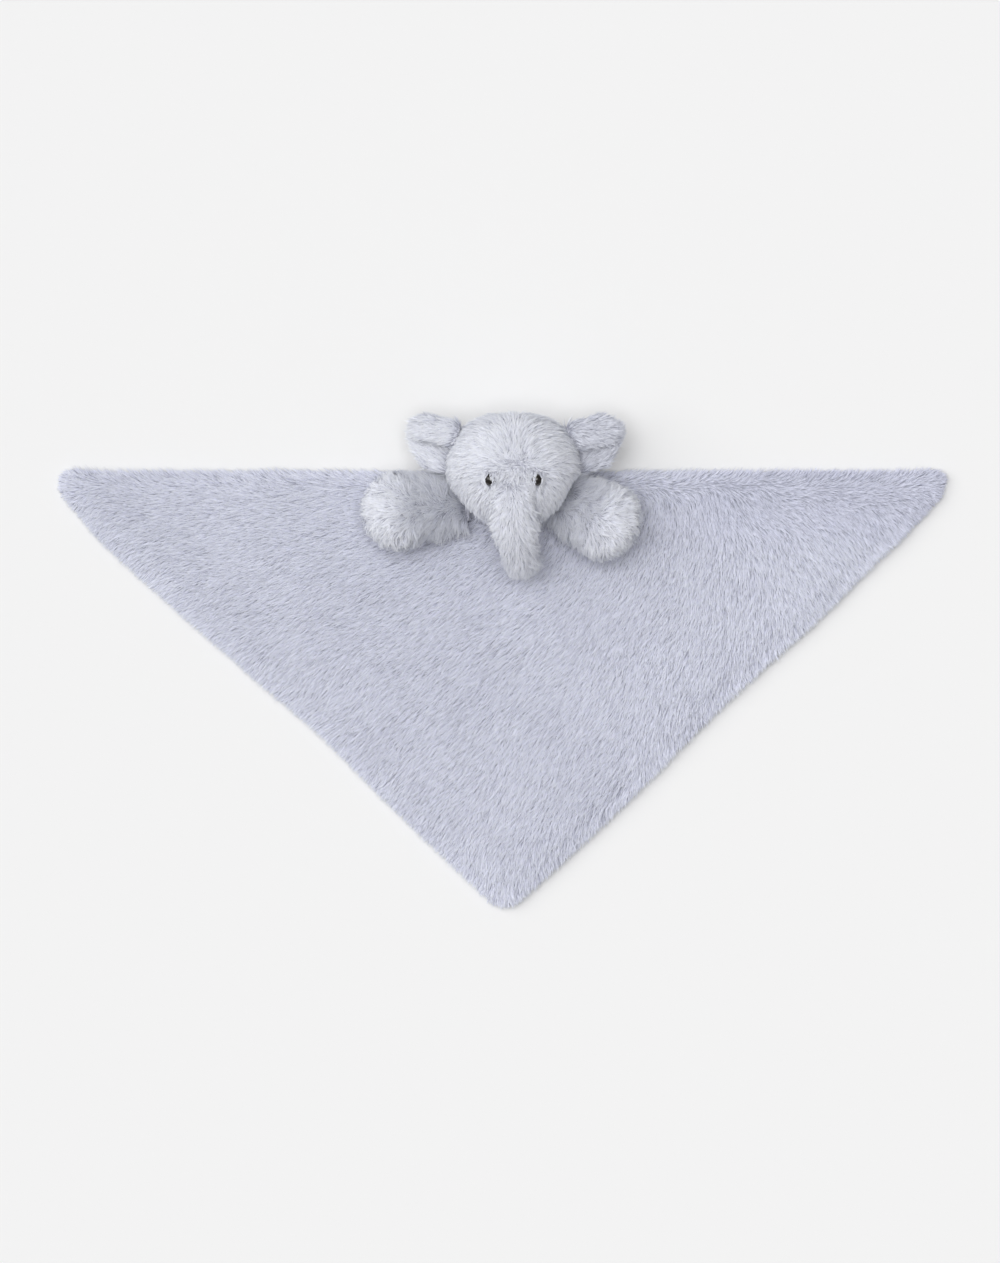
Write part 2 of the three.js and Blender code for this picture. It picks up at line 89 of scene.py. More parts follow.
# Pile: how far the forms lie inside the solids, and the lengths of the hairs
INSET = 1.7
BLANKET_PILE = 6.9
BACK_PILE = 5.0
HEAD_PILE = 8.0
TRUNK_PILE = 7.4
TRUNK_UNDER_PILE = 4.5
ARM_PILE = 9.0
EAR_PILE = 6.5
NECK_PILE = 4.5

# Hairs to a square millimetre. Of two values, the first is for what faces the viewer
FRONT_DENSITY = 2.6
BACK_DENSITY = 0.45
HEAD_DENSITY = (3.6, 1.5)
TRUNK_DENSITY = (3.8, 2.0)
ARM_DENSITY = (3.6, 1.6)
EAR_DENSITY = (3.6, 1.8)
NECK_DENSITY = 2.5


# Vectors
def unit(v):
    return v / np.maximum(np.linalg.norm(v, axis=-1, keepdims=True), 1e-9)


def dot(a, b):
    return (a * b).sum(-1, keepdims=True)


def along_surface(v, normals):
    """v laid on the surface with these normals, at length 1."""
    return unit(v - dot(v, normals) * normals)


def smooth(x):
    x = np.clip(x, 0, 1)
    return x * x * (3 - 2 * x)


def through(stations, t):
    """A smooth curve of one value through (position, value) stations, read at t."""
    xs, ys = np.array(stations, float).T
    slopes = np.gradient(ys, xs)
    slopes[1:-1] = (ys[2:] - ys[:-2]) / (xs[2:] - xs[:-2])
    i = np.clip(np.searchsorted(xs, t, side="left") - 1, 0, len(xs) - 2)
    span = xs[i + 1] - xs[i]
    x = np.clip((t - xs[i]) / span, 0, 1)
    rise = smooth(x)
    leave = x * (1 - x) ** 2 * span * slopes[i]
    arrive = x * x * (x - 1) * span * slopes[i + 1]
    return ys[i] * (1 - rise) + ys[i + 1] * rise + leave + arrive


def soft_noise(points, size, seed):
    """Smooth random values from -1 to 1 in space, with lumps of about that size."""
    cells, shift = 64, 1000
    table = np.random.default_rng(seed).uniform(-1, 1, (cells, cells, cells))
    p = points / size + shift
    low = np.floor(p).astype(int)
    f = smooth(p - low)
    total = 0
    for corner in range(8):
        step = np.array([corner & 1, corner >> 1 & 1, corner >> 2 & 1])
        share = np.prod(np.where(step, f, 1 - f), -1)
        x, y, z = ((low + step) % cells).T
        total = total + share * table[x, y, z]
    return total


def run_along(points, power=1):
    """How far along a line each of its points lies."""
    steps = np.linalg.norm(np.diff(points, axis=0), axis=1) ** power
    return np.concatenate([[0], np.cumsum(steps)])


def read_line(at, run, points):
    """The places at distances along a line of points, whose own distances are run."""
    return np.stack([np.interp(at, run, column) for column in points.T], 1)


def full_turn(count):
    return np.linspace(0, 2 * np.pi, count, endpoint=False)


# Surfaces
class Form:
    """A closed surface of quads and triangular caps, with a direction to comb at each point."""

    def __init__(self, points, quads, caps):
        self.points = np.array(points, float)
        self.quads = np.array(quads, int).reshape(-1, 4)
        self.caps = np.array(caps, int).reshape(-1, 3)
        self.triangles = self.split()
        a, b, c = (self.points[self.triangles[:, i]] for i in range(3))
        if (a * np.cross(b, c)).sum() < 0:
            self.quads = self.quads[:, ::-1]
            self.caps = self.caps[:, ::-1]
            self.triangles = self.split()
        self.normals = self.vertex_normals()
        self.comb = np.zeros_like(self.points)

    def split(self):
        return np.vstack([self.caps, self.quads[:, [0, 1, 2]], self.quads[:, [0, 2, 3]]])

    def faces(self):
        """The triangles' middles, and their normals, each as long as twice its triangle's area."""
        corners = self.points[self.triangles]
        return corners.mean(1), np.cross(corners[:, 1] - corners[:, 0], corners[:, 2] - corners[:, 0])

    def vertex_normals(self):
        _, face = self.faces()
        normals = np.zeros_like(self.points)
        for i in range(3):
            np.add.at(normals, self.triangles[:, i], face)
        return unit(normals)

    def scatter(self, density, keep):
        """Random places on the surface: points, normals and comb directions. density is per mm2,
        one value or a function of the faces' middles and normals. keep says which places stay."""
        middles, face = self.faces()
        area = np.linalg.norm(face, axis=1) / 2
        if callable(density):
            area = area * density(middles, unit(face))
            density = 1
        count = int(area.sum() * density)
        pick = rng.choice(len(area), count, p=area / area.sum())
        a, b = rng.random((2, count, 1))
        over = a + b > 1
        a, b = np.where(over, 1 - a, a), np.where(over, 1 - b, b)
        weights = (1 - a - b, a, b)

        def blend(values):
            return sum(w * values[self.triangles[pick, i]] for i, w in enumerate(weights))

        points, normals, comb = blend(self.points), unit(blend(self.normals)), blend(self.comb)
        kept = keep(points, normals)
        return points[kept], normals[kept], comb[kept]


def ring_form(first, rings, last):
    """rings is an array of closed rings, (ring, place round it, 3)."""
    count, around = rings.shape[:2]
    points = np.vstack([[first], rings.reshape(-1, 3), [last]])
    here = 1 + np.arange(count * around).reshape(count, around)
    beyond = np.roll(here, -1, 1)
    quads = np.stack([here[:-1], here[1:], beyond[1:], beyond[:-1]], -1).reshape(-1, 4)
    end = len(points) - 1
    caps = [[0, a, b] for a, b in zip(here[0], beyond[0])]
    caps += [[end, b, a] for a, b in zip(here[-1], beyond[-1])]
    return Form(points, quads, caps)


# Blanket: half the long edge and the depth with sharp corners, and the largest circle inside
SHARP_HALF = BLANKET_LENGTH / 2 - CORNER + CORNER / math.tan(SLANT / 2)
SHARP_DEPTH = SHARP_HALF * math.tan(SLANT)
INRADIUS = SHARP_HALF * SHARP_DEPTH / (SHARP_HALF + SHARP_HALF / math.cos(SLANT))
CENTRE = np.array([0, EDGE_Y - INRADIUS])


def blanket_outline(count):
    """Points on the panels' outline, evenly spaced."""
    r = CORNER
    tip = BLANKET_LENGTH / 2 - r
    low = r / math.cos(SLANT) - SHARP_DEPTH
    square = math.pi / 2
    turn = math.pi + square - SLANT
    arcs = [
        (-tip, -r, square, turn), (0, low, turn, 3 * square + SLANT), (tip, -r, SLANT - square, square),
    ]
    path = []
    for x, y, start, end in arcs:
        angles = np.linspace(start, end, 24)
        path.append(np.stack([x + r * np.cos(angles), y + r * np.sin(angles)], 1))
    path = np.vstack([*path, path[0][:1]])
    run = run_along(path)
    return read_line(np.linspace(0, run[-1], count, endpoint=False), run, path) + [0, EDGE_Y]


def blanket_fold(x, y):
    across = x * math.cos(FOLD_DIRECTION) + y * math.sin(FOLD_DIRECTION)
    wave = 0.5 - 0.5 * np.cos(2 * np.pi * across / FOLD_SPACING)
    away = np.maximum(np.abs(x - HEAD[0]) - FLAT_LENGTH / 2, -FLAT_DEPTH - y)
    return FOLD_DEPTH * wave * smooth(away / FOLD_RUN_IN)


# How far the cloth's edge lies inside the part's, by y, and how far its tips are lifted
LEFT_DRAW = [
    (-230, 1.0), (-195, 2.0), (-163, 3.0), (-131, 5.2), (-99, 3.6), (-66, 2.4), (-34, 1.7), (20, 2.0),
]
RIGHT_DRAW = [
    (-230, 1.0), (-195, 0.6), (-163, 0.8), (-131, 2.8), (-99, 4.0), (-66, 3.0), (-34, 4.8), (20, 4.4),
]
TOP_DRAW = 0.8
DRAW_BLEND = 3
LEFT_LIFT = 4.5
RIGHT_LIFT = 2.5
TIP_FROM = 214
TIP_RUN = 24


def cloth_outline(count):
    """The panels' outline as the cloth lies, and the outward direction at each of its points."""
    outline = blanket_outline(count)
    x, y = outline.T
    below = EDGE_Y - y
    s, c = math.sin(SLANT), math.cos(SLANT)
    inside = np.stack([below, (x + SHARP_HALF) * s - below * c, (SHARP_HALF - x) * s - below * c], 1)
    share = np.exp(-inside / DRAW_BLEND)
    share /= share.sum(1, keepdims=True)
    draws = (TOP_DRAW, through(LEFT_DRAW, y), through(RIGHT_DRAW, y))
    draw = sum(share[:, i] * inward for i, inward in enumerate(draws))
    ahead = unit(np.roll(outline, -1, 0) - np.roll(outline, 1, 0))
    outward = np.stack([ahead[:, 1], -ahead[:, 0]], 1)
    cloth = outline - draw[:, None] * outward
    lift = LEFT_LIFT * smooth((-x - TIP_FROM) / TIP_RUN) + RIGHT_LIFT * smooth((x - TIP_FROM) / TIP_RUN)
    cloth[:, 1] += lift * (1 - 0.5 * smooth((y - 4) / 8))
    return cloth, outward


# The panels' rims: how wide they are rounded, how far they sink and how far in the pile turns out
PANEL_RIM = 7
SEAM_HEIGHT = 1.2
RIM_DROP = 2.6
RIM_BAND = 9.0
RIM_REACH = 3.2
LOWEST_CLOTH = 0.2


def blanket_panel(side, thickness):
    """One panel: flat where it meets the other, rounded down to the seam at its rim."""
    outline, outward = cloth_outline(480)
    swell = thickness - SEAM_HEIGHT
    turns = np.linspace(0, np.pi / 2, 8)
    rows = [(0, 0)]
    rows += [(PANEL_RIM * (1 - math.cos(t)), SEAM_HEIGHT + swell * math.sin(t)) for t in turns]
    run = INRADIUS - PANEL_RIM
    rows += [(PANEL_RIM + run * s, thickness) for s in np.linspace(0, 1, 40)[1:-1]]
    rings, combs = [], []
    for distance, height in rows:
        xy = CENTRE + (outline - CENTRE) * (1 - distance / INRADIUS)
        level = np.full(len(xy), float(height))
        drop = RIM_DROP * (1 - smooth(distance / (2 * PANEL_RIM)))
        meeting = PANEL + CLEARANCE / 2 + side * CLEARANCE / 2 - drop
        if side > 0 and distance > 0:
            within = smooth(distance / PANEL_RIM)
            flat = np.column_stack([xy, np.zeros(len(xy))])
            level -= within * blanket_fold(*xy.T)
            level += within * (0.45 * soft_noise(flat, 34, 1) + 0.2 * soft_noise(flat, 13, 2))
        height = np.maximum(meeting + side * np.maximum(level, 0), LOWEST_CLOTH)
        rings.append(np.column_stack([xy, height]))
        near = max(0, 1 - distance / RIM_BAND)
        combs.append(np.column_stack([near * outward, np.zeros(len(xy))]))
    form = ring_form([*CENTRE, meeting], np.array(rings), [*CENTRE, rings[-1][:, 2].mean()])
    form.comb = np.vstack([[0, 0, 0], *combs, [0, 0, 0]])
    return form


# Directions the blanket's pile is combed in: pixel across, pixel down, degrees
STROKES = [
    (58, 476, 185), (75, 470, 165), (85, 515, 222), (140, 480, 172), (150, 505, 188), (150, 545, 202),
    (130, 572, 226), (250, 480, 172), (250, 515, 190), (250, 560, 200), (250, 610, 208), (240, 690, 228),
    (350, 478, 190), (345, 510, 198), (350, 560, 207), (350, 620, 211), (350, 700, 222), (330, 765, 234),
    (450, 565, 212), (450, 620, 216), (450, 700, 223), (450, 790, 230), (430, 850, 240), (520, 600, 216),
    (540, 650, 226), (560, 710, 232), (540, 770, 238), (500, 820, 240), (500, 868, 258), (500, 904, 270),
    (600, 600, 235), (620, 650, 240), (600, 720, 239), (580, 800, 238), (570, 845, 256), (640, 580, 248),
    (650, 520, 262), (690, 560, 256), (680, 620, 246), (700, 690, 254), (660, 750, 256), (630, 474, 350),
    (690, 474, 12), (700, 505, 272), (728, 505, 298), (740, 474, 38), (760, 495, 312), (775, 560, 284),
    (740, 600, 266), (700, 645, 248), (766, 640, 264), (750, 675, 268), (800, 476, 42), (790, 489, 0),
    (810, 510, 322), (820, 545, 306), (796, 590, 286), (835, 585, 302), (860, 476, 36), (860, 489, 352),
    (866, 524, 304), (905, 480, 18), (922, 500, 326), (900, 530, 308), (940, 484, 0), (935, 496, 335),
]


def combed(points, strokes, reach):
    """Directions blended from the strokes nearest to each point."""
    across, down, angles = np.array(strokes, float).T
    places = [(across - EDGE_PIXEL[0]) * PIXEL, (EDGE_PIXEL[1] - down) * PIXEL + EDGE_PIXEL_Y]
    weights = (((points[:, None, :2] - np.stack(places, 1)) ** 2).sum(-1) + reach**2) ** -2.0
    out = np.zeros((len(points), 3))
    out[:, 0] = weights @ np.cos(np.radians(angles))
    out[:, 1] = weights @ np.sin(np.radians(angles))
    return unit(out)


# Pile: each hair is a narrow tapered ribbon. A step gives a share of the length and of the width
SHORT_HAIR = [(0, 1), (0.5, 0.9), (1, 0)]
LONG_HAIR = [(0, 1), (0.36, 0.95), (0.7, 0.66), (1, 0)]

# How hairs differ in length, how tufts do, and how the lifts of root and tip do
LENGTH_SPREAD = (0.72, 1.12)
TUFT_SPREAD = (0.88, 0.24)
LIFT_SPREADS = (7, 6)

# Tufts: one in each cell of space, which picks its numbers from a table
TUFT_TABLE = 4096
TUFT_JITTER = (0.15, 0.85)
TUFT_PICK = (73856093, 19349663, 83492791)


def tufts(points, normals, size):
    """The middle of the tuft that each hair belongs to, and a random number for it."""
    jitter = rng.uniform(*TUFT_JITTER, (TUFT_TABLE, 3))
    tone = rng.random(TUFT_TABLE)
    cell = np.floor(points / size).astype(int)
    best = np.full(len(points), np.inf)
    middle = points.copy()
    value = np.zeros(len(points))
    for step in np.ndindex(3, 3, 3):
        near = cell + np.array(step) - 1
        key = np.bitwise_xor.reduce(near * TUFT_PICK, axis=1) % TUFT_TABLE
        off = (near + jitter[key]) * size - points
        off = off - dot(off, normals) * normals
        apart = (off**2).sum(-1)
        nearer = apart < best
        best[nearer] = apart[nearer]
        middle[nearer] = (points + off)[nearer]
        value[nearer] = tone[key][nearer]
    return middle, value


def strand_colours(steps, each, tone):
    """The ribbons' colours: how far along the hair, and the numbers of the hair and its tuft."""
    along = [s for s, share in steps for _ in range(2 if share else 1)]
    colours = np.ones((len(each), len(along), 4), np.float32)
    colours[:, :, 0] = along
    colours[:, :, 1] = each[:, None]
    colours[:, :, 2] = tone[:, None]
    return colours


def hairs(places, length, steps, lift, width, tuft=1.8, pull=0.4, stray=8, curl=0.08, roll=40, sway=8):
    """Ribbon corners and colours of hairs rooted at places. In degrees: lift is the angle off the
    surface at the root and the tip, stray the spread of directions, sway the tufts' spread of lift,
    and roll the ribbons' tilt. pull draws the tips to the middle of their tuft."""
    points, normals, comb = places
    count = len(points)
    comb = along_surface(comb + 1e-6, normals)
    side = np.cross(normals, comb)
    middle, tone = tufts(points, normals, tuft)
    spins = np.random.default_rng(SEED + 7).uniform(-1, 1, TUFT_TABLE)
    spin = spins[(tone * (TUFT_TABLE - 1)).astype(int)]
    turn = (np.radians(stray) * (spin + 0.5 * rng.standard_normal(count)))[:, None]
    comb = comb * np.cos(turn) + side * np.sin(turn)
    side = np.cross(normals, comb)
    length = length * rng.uniform(*LENGTH_SPREAD, count) * (TUFT_SPREAD[0] + TUFT_SPREAD[1] * tone)
    root_lift = lift[0] + rng.normal(0, LIFT_SPREADS[0], count) + sway * (tone - 0.5)
    tip_lift = lift[1] + rng.normal(0, LIFT_SPREADS[1], count)
    up, down = np.radians(root_lift)[:, None], np.radians(tip_lift)[:, None]
    start = comb * np.cos(up) + normals * np.sin(up)
    end = comb * np.cos(down) + normals * np.sin(down)
    bend = curl * (spin + 0.6 * rng.standard_normal(count))[:, None]
    lean = np.radians(rng.uniform(-roll, roll, count))[:, None]
    rows = []
    for s, share in steps:
        path = start * (s - s * s / 2) + end * s * s / 2 + side * bend * s * s
        centre = points + length[:, None] * path + pull * s**1.5 * (middle - points)
        heading = unit(start * (1 - s) + end * s + side * 2 * bend * s)
        flat = unit(np.cross(normals, heading))
        half = width / 2 * share * (flat * np.cos(lean) + np.cross(heading, flat) * np.sin(lean))
        rows += [centre + half, centre - half] if share else [centre]
    return np.stack(rows, 1), strand_colours(steps, rng.random(count), tone)


def keep_between(strands, low, high=np.inf):
    """Holds hairs between two heights."""
    corners = strands[0]
    corners[:, :, 2] = np.clip(corners[:, :, 2], low, high)


# Objects
def new_object(name, data):
    obj = bpy.data.objects.new(name, data)
    bpy.context.scene.collection.objects.link(obj)
    return obj


def mesh_object(name, mesh, material):
    mesh.materials.append(material)
    return new_object(name, mesh)


def fill_mesh(name, points, faces):
    """A mesh from numpy arrays. faces is a list of index arrays, one for each face size."""
    mesh = bpy.data.meshes.new(name)
    loops = np.concatenate([f.ravel() for f in faces])
    sizes = np.concatenate([np.full(len(f), f.shape[1]) for f in faces])
    mesh.vertices.add(len(points))
    mesh.vertices.foreach_set("co", (np.asarray(points) * MM).astype(np.float32).ravel())
    mesh.loops.add(len(loops))
    mesh.loops.foreach_set("vertex_index", loops.astype(np.int32))
    mesh.polygons.add(len(sizes))
    starts = np.concatenate([[0], np.cumsum(sizes)[:-1]])
    mesh.polygons.foreach_set("loop_start", starts.astype(np.int32))
    mesh.polygons.foreach_set("use_smooth", np.ones(len(sizes), bool))
    mesh.update(calc_edges=True)
    mesh.validate()
    return mesh


def form_object(name, form, material):
    return mesh_object(name, fill_mesh(name, form.points, [form.quads, form.caps]), material)


# The least share of the pile's colour in one hair or tuft, and the map for baking
DARKEST = 0.9
MAP_MARGIN = 0.02
MAP_HAIR_WIDTH = 0.012


def map_by_colour(mesh, colours):
    """A map on which a hair lies by its colour: from its root up, and from dark hairs to light."""
    rows = colours.shape[1]
    shade = np.prod(DARKEST + (1 - DARKEST) * smooth(colours[:, :, 1:3]), -1)
    side = np.tile([0.5, -0.5], rows // 2 + 1)[:rows]
    side[-1] = 0
    lightness = (shade - DARKEST**2) / (1 - DARKEST**2) + MAP_HAIR_WIDTH * side
    places = MAP_MARGIN + (1 - 2 * MAP_MARGIN) * np.stack([lightness, colours[:, :, 0]], -1)
    vertex = np.empty(len(mesh.loops), np.int32)
    mesh.loops.foreach_get("vertex_index", vertex)
    layer = mesh.uv_layers.new(name="OFBake")
    layer.uv.foreach_set("vector", places.reshape(-1, 2)[vertex].astype(np.float32).ravel())


def hair_object(name, parts, material):
    corners, colours = (np.concatenate(values) for values in zip(*parts))
    count, rows = corners.shape[:2]
    base = (np.arange(count) * rows)[:, None]
    quads = np.concatenate([base + [i, i + 1, i + 3, i + 2] for i in range(0, rows - 3, 2)])
    tips = base + [rows - 3, rows - 2, rows - 1]
    mesh = fill_mesh(name, corners.reshape(-1, 3), [quads, tips])
    strand = mesh.color_attributes.new("strand", "FLOAT_COLOR", "POINT")
    strand.data.foreach_set("color", colours.reshape(-1))
    map_by_colour(mesh, colours)
    return mesh_object(name, mesh, material)


# Materials
def srgb(r, g, b):
    def linear(c):
        c /= 255
        return c / 12.92 if c <= 0.04045 else ((c + 0.055) / 1.055) ** 2.4

    return (linear(r), linear(g), linear(b), 1.0)


def set_inputs(node, values):
    """Joins each input to a socket, or gives it a value of its own."""
    for key, value in values.items():
        if isinstance(value, bpy.types.NodeSocket):
            node.id_data.links.new(value, node.inputs[key])
        else:
            node.inputs[key].default_value = value


def add_node(tree, kind, values=None, **settings):
    node = tree.nodes.new("ShaderNode" + kind)
    for key, value in settings.items():
        setattr(node, key, value)
    set_inputs(node, values or {})
    return node


def new_material(name):
    material = bpy.data.materials.new(name)
    material.use_nodes = True
    return material, material.node_tree, material.node_tree.nodes["Principled BSDF"]


def ramp(tree, factor, stops):
    node = add_node(tree, "ValToRGB", {"Fac": factor})
    node.color_ramp.interpolation = "EASE"
    while len(node.color_ramp.elements) < len(stops):
        node.color_ramp.elements.new(0.5)
    for element, (position, colour) in zip(node.color_ramp.elements, stops):
        element.position = position
        element.color = colour
    return node.outputs["Color"]


def noise(tree, scale, detail=3.0, roughness=0.5):
    place = add_node(tree, "TexCoord").outputs["Object"]
    values = {"Vector": place, "Scale": scale, "Detail": detail, "Roughness": roughness}
    return add_node(tree, "TexNoise", values).outputs["Fac"]


def pile_material(name, root, middle, tip, sheen=0.25):
    """Hair colour: darker at the root as painted shade deep in the pile, a little different from hair to
    hair and from patch to patch.
    """
    material, tree, shader = new_material(name)
    strand = add_node(tree, "Attribute", attribute_name="strand")
    parts = add_node(tree, "SeparateColor", {"Color": strand.outputs["Color"]}).outputs
    colour = ramp(tree, parts["Red"], [(0.0, srgb(*root)), (0.45, srgb(*middle)), (1.0, srgb(*tip))])
    shades = [
        (parts["Green"], 0.0, 1.0, DARKEST),
        (parts["Blue"], 0.0, 1.0, DARKEST),
        (noise(tree, 26.0), 0.3, 0.7, 0.97),
    ]
    for value, low, high, dark in shades:
        shade = ramp(tree, value, [(low, (dark, dark, dark + 0.006, 1)), (high, (1, 1, 1, 1))])
        values = {0: 1.0, 6: colour, 7: shade}
        colour = add_node(tree, "Mix", values, data_type="RGBA", blend_type="MULTIPLY").outputs[2]
    set_inputs(shader, {
        "Base Color": colour,
        "Roughness": 0.62,
        "Specular IOR Level": 0.28,
        "Sheen Weight": sheen,
        "Sheen Roughness": 0.45,
        "Sheen Tint": (0.8, 0.85, 1.0, 1.0),
    })
    return material


def backing_material(name, low, high):
    """The knitted backing between the hairs' roots, with fine ribs and a fuzz of short fibre."""
    material, tree, shader = new_material(name)
    fibre = noise(tree, 900.0, 4.0, 0.65)
    place = add_node(tree, "TexCoord").outputs["Object"]
    ribs = add_node(tree, "TexWave", {"Vector": place, "Scale": 260.0, "Distortion": 2.0})
    bump = add_node(tree, "Bump", {"Strength": 0.5, "Distance": 0.0004, "Height": ribs.outputs["Fac"]})
    set_inputs(shader, {
        "Base Color": ramp(tree, fibre, [(0.25, srgb(*low)), (0.75, srgb(*high))]),
        "Roughness": 0.9,
        "Specular IOR Level": 0.15,
        "Sheen Weight": 0.2,
        "Normal": bump.outputs["Normal"],
    })
    return material


def hard_material(name, grain, low, high, values):
    material, tree, shader = new_material(name)
    tint = ramp(tree, noise(tree, grain), [(0.3, srgb(*low)), (0.7, srgb(*high))])
    set_inputs(shader, {"Base Color": tint, **values})
    return material


# Each pile's root colour is darker than its middle and tip: painted shade deep in the pile
blanket_pile = pile_material("blanket_plush_pile", (184, 187, 202), (235, 237, 252), (246, 249, 255))
head_pile = pile_material("head_plush_pile", (182, 184, 198), (244, 246, 255), (250, 252, 255), 0.5)
# The backings are darker than the hairs: painted shade under the pile
blanket_backing = backing_material("blanket_plush_backing", (186, 188, 202), (202, 204, 218))
head_backing = backing_material("head_plush_backing", (214, 215, 226), (230, 231, 241))


# Blanket: the front and back panels and their pile
STROKE_REACH = 6
WANDER = 0.16
RIM_TURN = 0.7
LOWEST_HAIR = 0.1
LOWEST_BACK_HAIR = 0.08
# How far the painted shade at the right end darkens the hairs
PAINTED_SHADE_DEPTH = 0.4

front = blanket_panel(1, thickness=3.2)
front_panel = form_object("blanket_front", front, blanket_backing)
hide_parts("blanket_front_panel")
back = blanket_panel(-1, thickness=4.1)
back_panel = form_object("blanket_back", back, blanket_backing)
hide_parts("blanket_back_panel")


def blanket_places(form, density, keep):
    """Roots and directions of the pile, and how long each hair may be before it passes the rim."""
    points, normals, rim = form.scatter(density, keep)
    near = np.linalg.norm(rim, axis=1)
    outward = rim / np.maximum(near, 1e-6)[:, None]
    comb = combed(points, STROKES, STROKE_REACH)
    wander = WANDER * soft_noise(points * [1, 1, 0], 17, 5)
    comb = comb + wander[:, None] * np.cross([0, 0, 1.0], comb)
    comb = unit(comb + RIM_TURN * smooth(near)[:, None] * outward)
    reach = RIM_BAND * (1 - near) + RIM_REACH
    crossing = np.maximum((comb * outward).sum(1), 0.05)
    longest = np.where(near > 0, reach / crossing, 100) * rng.uniform(0.85, 1.1, len(points))
    comb[:, 2] -= 0.3 * near
    return (points, normals, comb), longest


places, longest = blanket_places(front, FRONT_DENSITY, lambda p, n: (n[:, 2] > -0.2) & (p[:, 2] > 1))
points = places[0]
x, y = points[:, :2].T
# 1 under the head and arms, and 1 at the right end, where the pile lies away from the light and its hairs
# are darkened as painted shade
pressed = 1 - smooth((np.maximum(np.abs(x - 2) - 62, -26 - y) + 6) / 12)
painted_nap_shade = smooth((x - 72) / 60) * smooth((y + 34) / 34)
length = BLANKET_PILE * (1 - 0.25 * pressed)
length = np.minimum(length * (1 + 0.12 * soft_noise(points * [1, 1, 0], 21, 8)), longest)
front_hairs = hairs(places, length, SHORT_HAIR, (26, 3), 0.4, tuft=1.25, pull=0.42, sway=14)
keep_between(front_hairs, LOWEST_HAIR)
# Painted shade: the hairs at the right end take more of their darker root colour
front_hairs[1][:, :, 0] *= 1 - PAINTED_SHADE_DEPTH * painted_nap_shade[:, None]
bands = np.array_split(np.argsort(x, kind="stable"), 3)
front_piles = []
for side, band in zip(("left", "middle", "right"), bands):
    strands = [values[band] for values in front_hairs]
    front_piles.append(hair_object(f"blanket_front_pile_{side}", [strands], blanket_pile))

places, longest = blanket_places(back, BACK_DENSITY, lambda p, n: n[:, 2] < 0.6)
back_hairs = hairs(places, np.minimum(BACK_PILE, longest), SHORT_HAIR, (6, -4), 0.8)
keep_between(back_hairs, LOWEST_BACK_HAIR)
back_pile = hair_object("blanket_back_pile", [back_hairs], blanket_pile)

for piece in (front_panel, back_panel, *front_piles, back_pile):
    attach(piece, "blanket")
outline = blanket_outline(360) * MM
x, y = outline.T


# Head: rings from the crown to the chin
HEAD_RINGS = 50
HEAD_AROUND = 72
HOLLOW_DEPTH = 1.3
HOLLOW_WIDTH = 5.5


def head_half(s, size):
    """Half the head's size at s, which runs from -1 at the crown to 1 at the chin."""
    fullness = np.where(s < 0, CROWN_FULLNESS, 2.0)
    around = np.maximum(0, 1 - np.abs(s) ** fullness) ** (1 / fullness)
    return size / 2 * around * (1 - CHIN_TAPER * np.maximum(s, 0))


def head_reach(y, size, aside, aside_size):
    """How far the head reaches at y in one direction, at a place aside from its axis in the other."""
    s = np.array(-y / (HEAD_LENGTH / 2))
    share = aside / head_half(s, aside_size)
    return float(head_half(s, size) * math.sqrt(max(0, 1 - share * share)))


def head_height(x, y):
    return head_reach(y, HEAD_DEPTH, x, HEAD_WIDTH)


def head_form():
    """The head, flat underneath, with a soft hollow round each eye."""
    s = -np.cos(np.linspace(0, np.pi, HEAD_RINGS))[1:-1, None]
    turn = full_turn(HEAD_AROUND)[None]
    x = head_half(s, HEAD_WIDTH - 2 * INSET) * np.cos(turn)
    z = head_half(s, HEAD_DEPTH - 2 * INSET) * np.sin(turn)
    y = np.broadcast_to(-s * (HEAD_LENGTH / 2 - INSET), x.shape)
    rings = np.stack([x, y, z], -1) + HEAD
    end = np.array([0, HEAD_LENGTH / 2 - INSET, 0])
    form = ring_form(HEAD + end, rings, HEAD - end)
    for side in (-1, 1):
        centre = HEAD + [side * EYE_X, EYE_Y, 0]
        apart = np.linalg.norm((form.points - centre)[:, :2], axis=1)
        sunk = HOLLOW_DEPTH * np.exp(-((apart / HOLLOW_WIDTH) ** 2)) * (form.points[:, 2] > HEAD[2])
        form.points -= sunk[:, None] * form.normals
    form.points[:, 2] = np.maximum(form.points[:, 2], HEAD_FLOOR + CLEARANCE)
    form.normals = form.vertex_normals()
    return form


HEAD_STROKES = [
    (463, 430, 176), (480, 424, 172), (498, 421, 160), (512, 421, 95), (526, 421, 18), (545, 424, 6),
    (563, 434, -6), (475, 440, 176), (458, 453, 190), (490, 438, 165), (503, 436, 130), (515, 436, 85),
    (526, 438, 35), (542, 440, 8), (560, 446, -8), (572, 458, -4), (452, 474, 205), (455, 490, 222),
    (462, 503, 234), (471, 514, 244), (482, 522, 252), (488, 505, 246), (476, 493, 228), (470, 480, 205),
    (482, 466, 176), (470, 462, 188), (495, 455, 150), (505, 453, 125), (515, 454, 92), (525, 453, 60),
    (503, 464, 150), (516, 463, 95), (529, 464, 45), (500, 474, 235), (508, 472, 255), (516, 472, 270),
    (524, 472, 285), (531, 474, 310), (503, 484, 255), (516, 484, 270), (529, 484, 285),
    (503, 492, 250), (522, 492, 284), (540, 466, 30), (552, 462, 8), (566, 468, -10), (576, 472, -14),
    (572, 484, -38), (560, 490, -52), (548, 482, -30), (552, 500, -62), (545, 514, -78), (538, 500, -70),
]


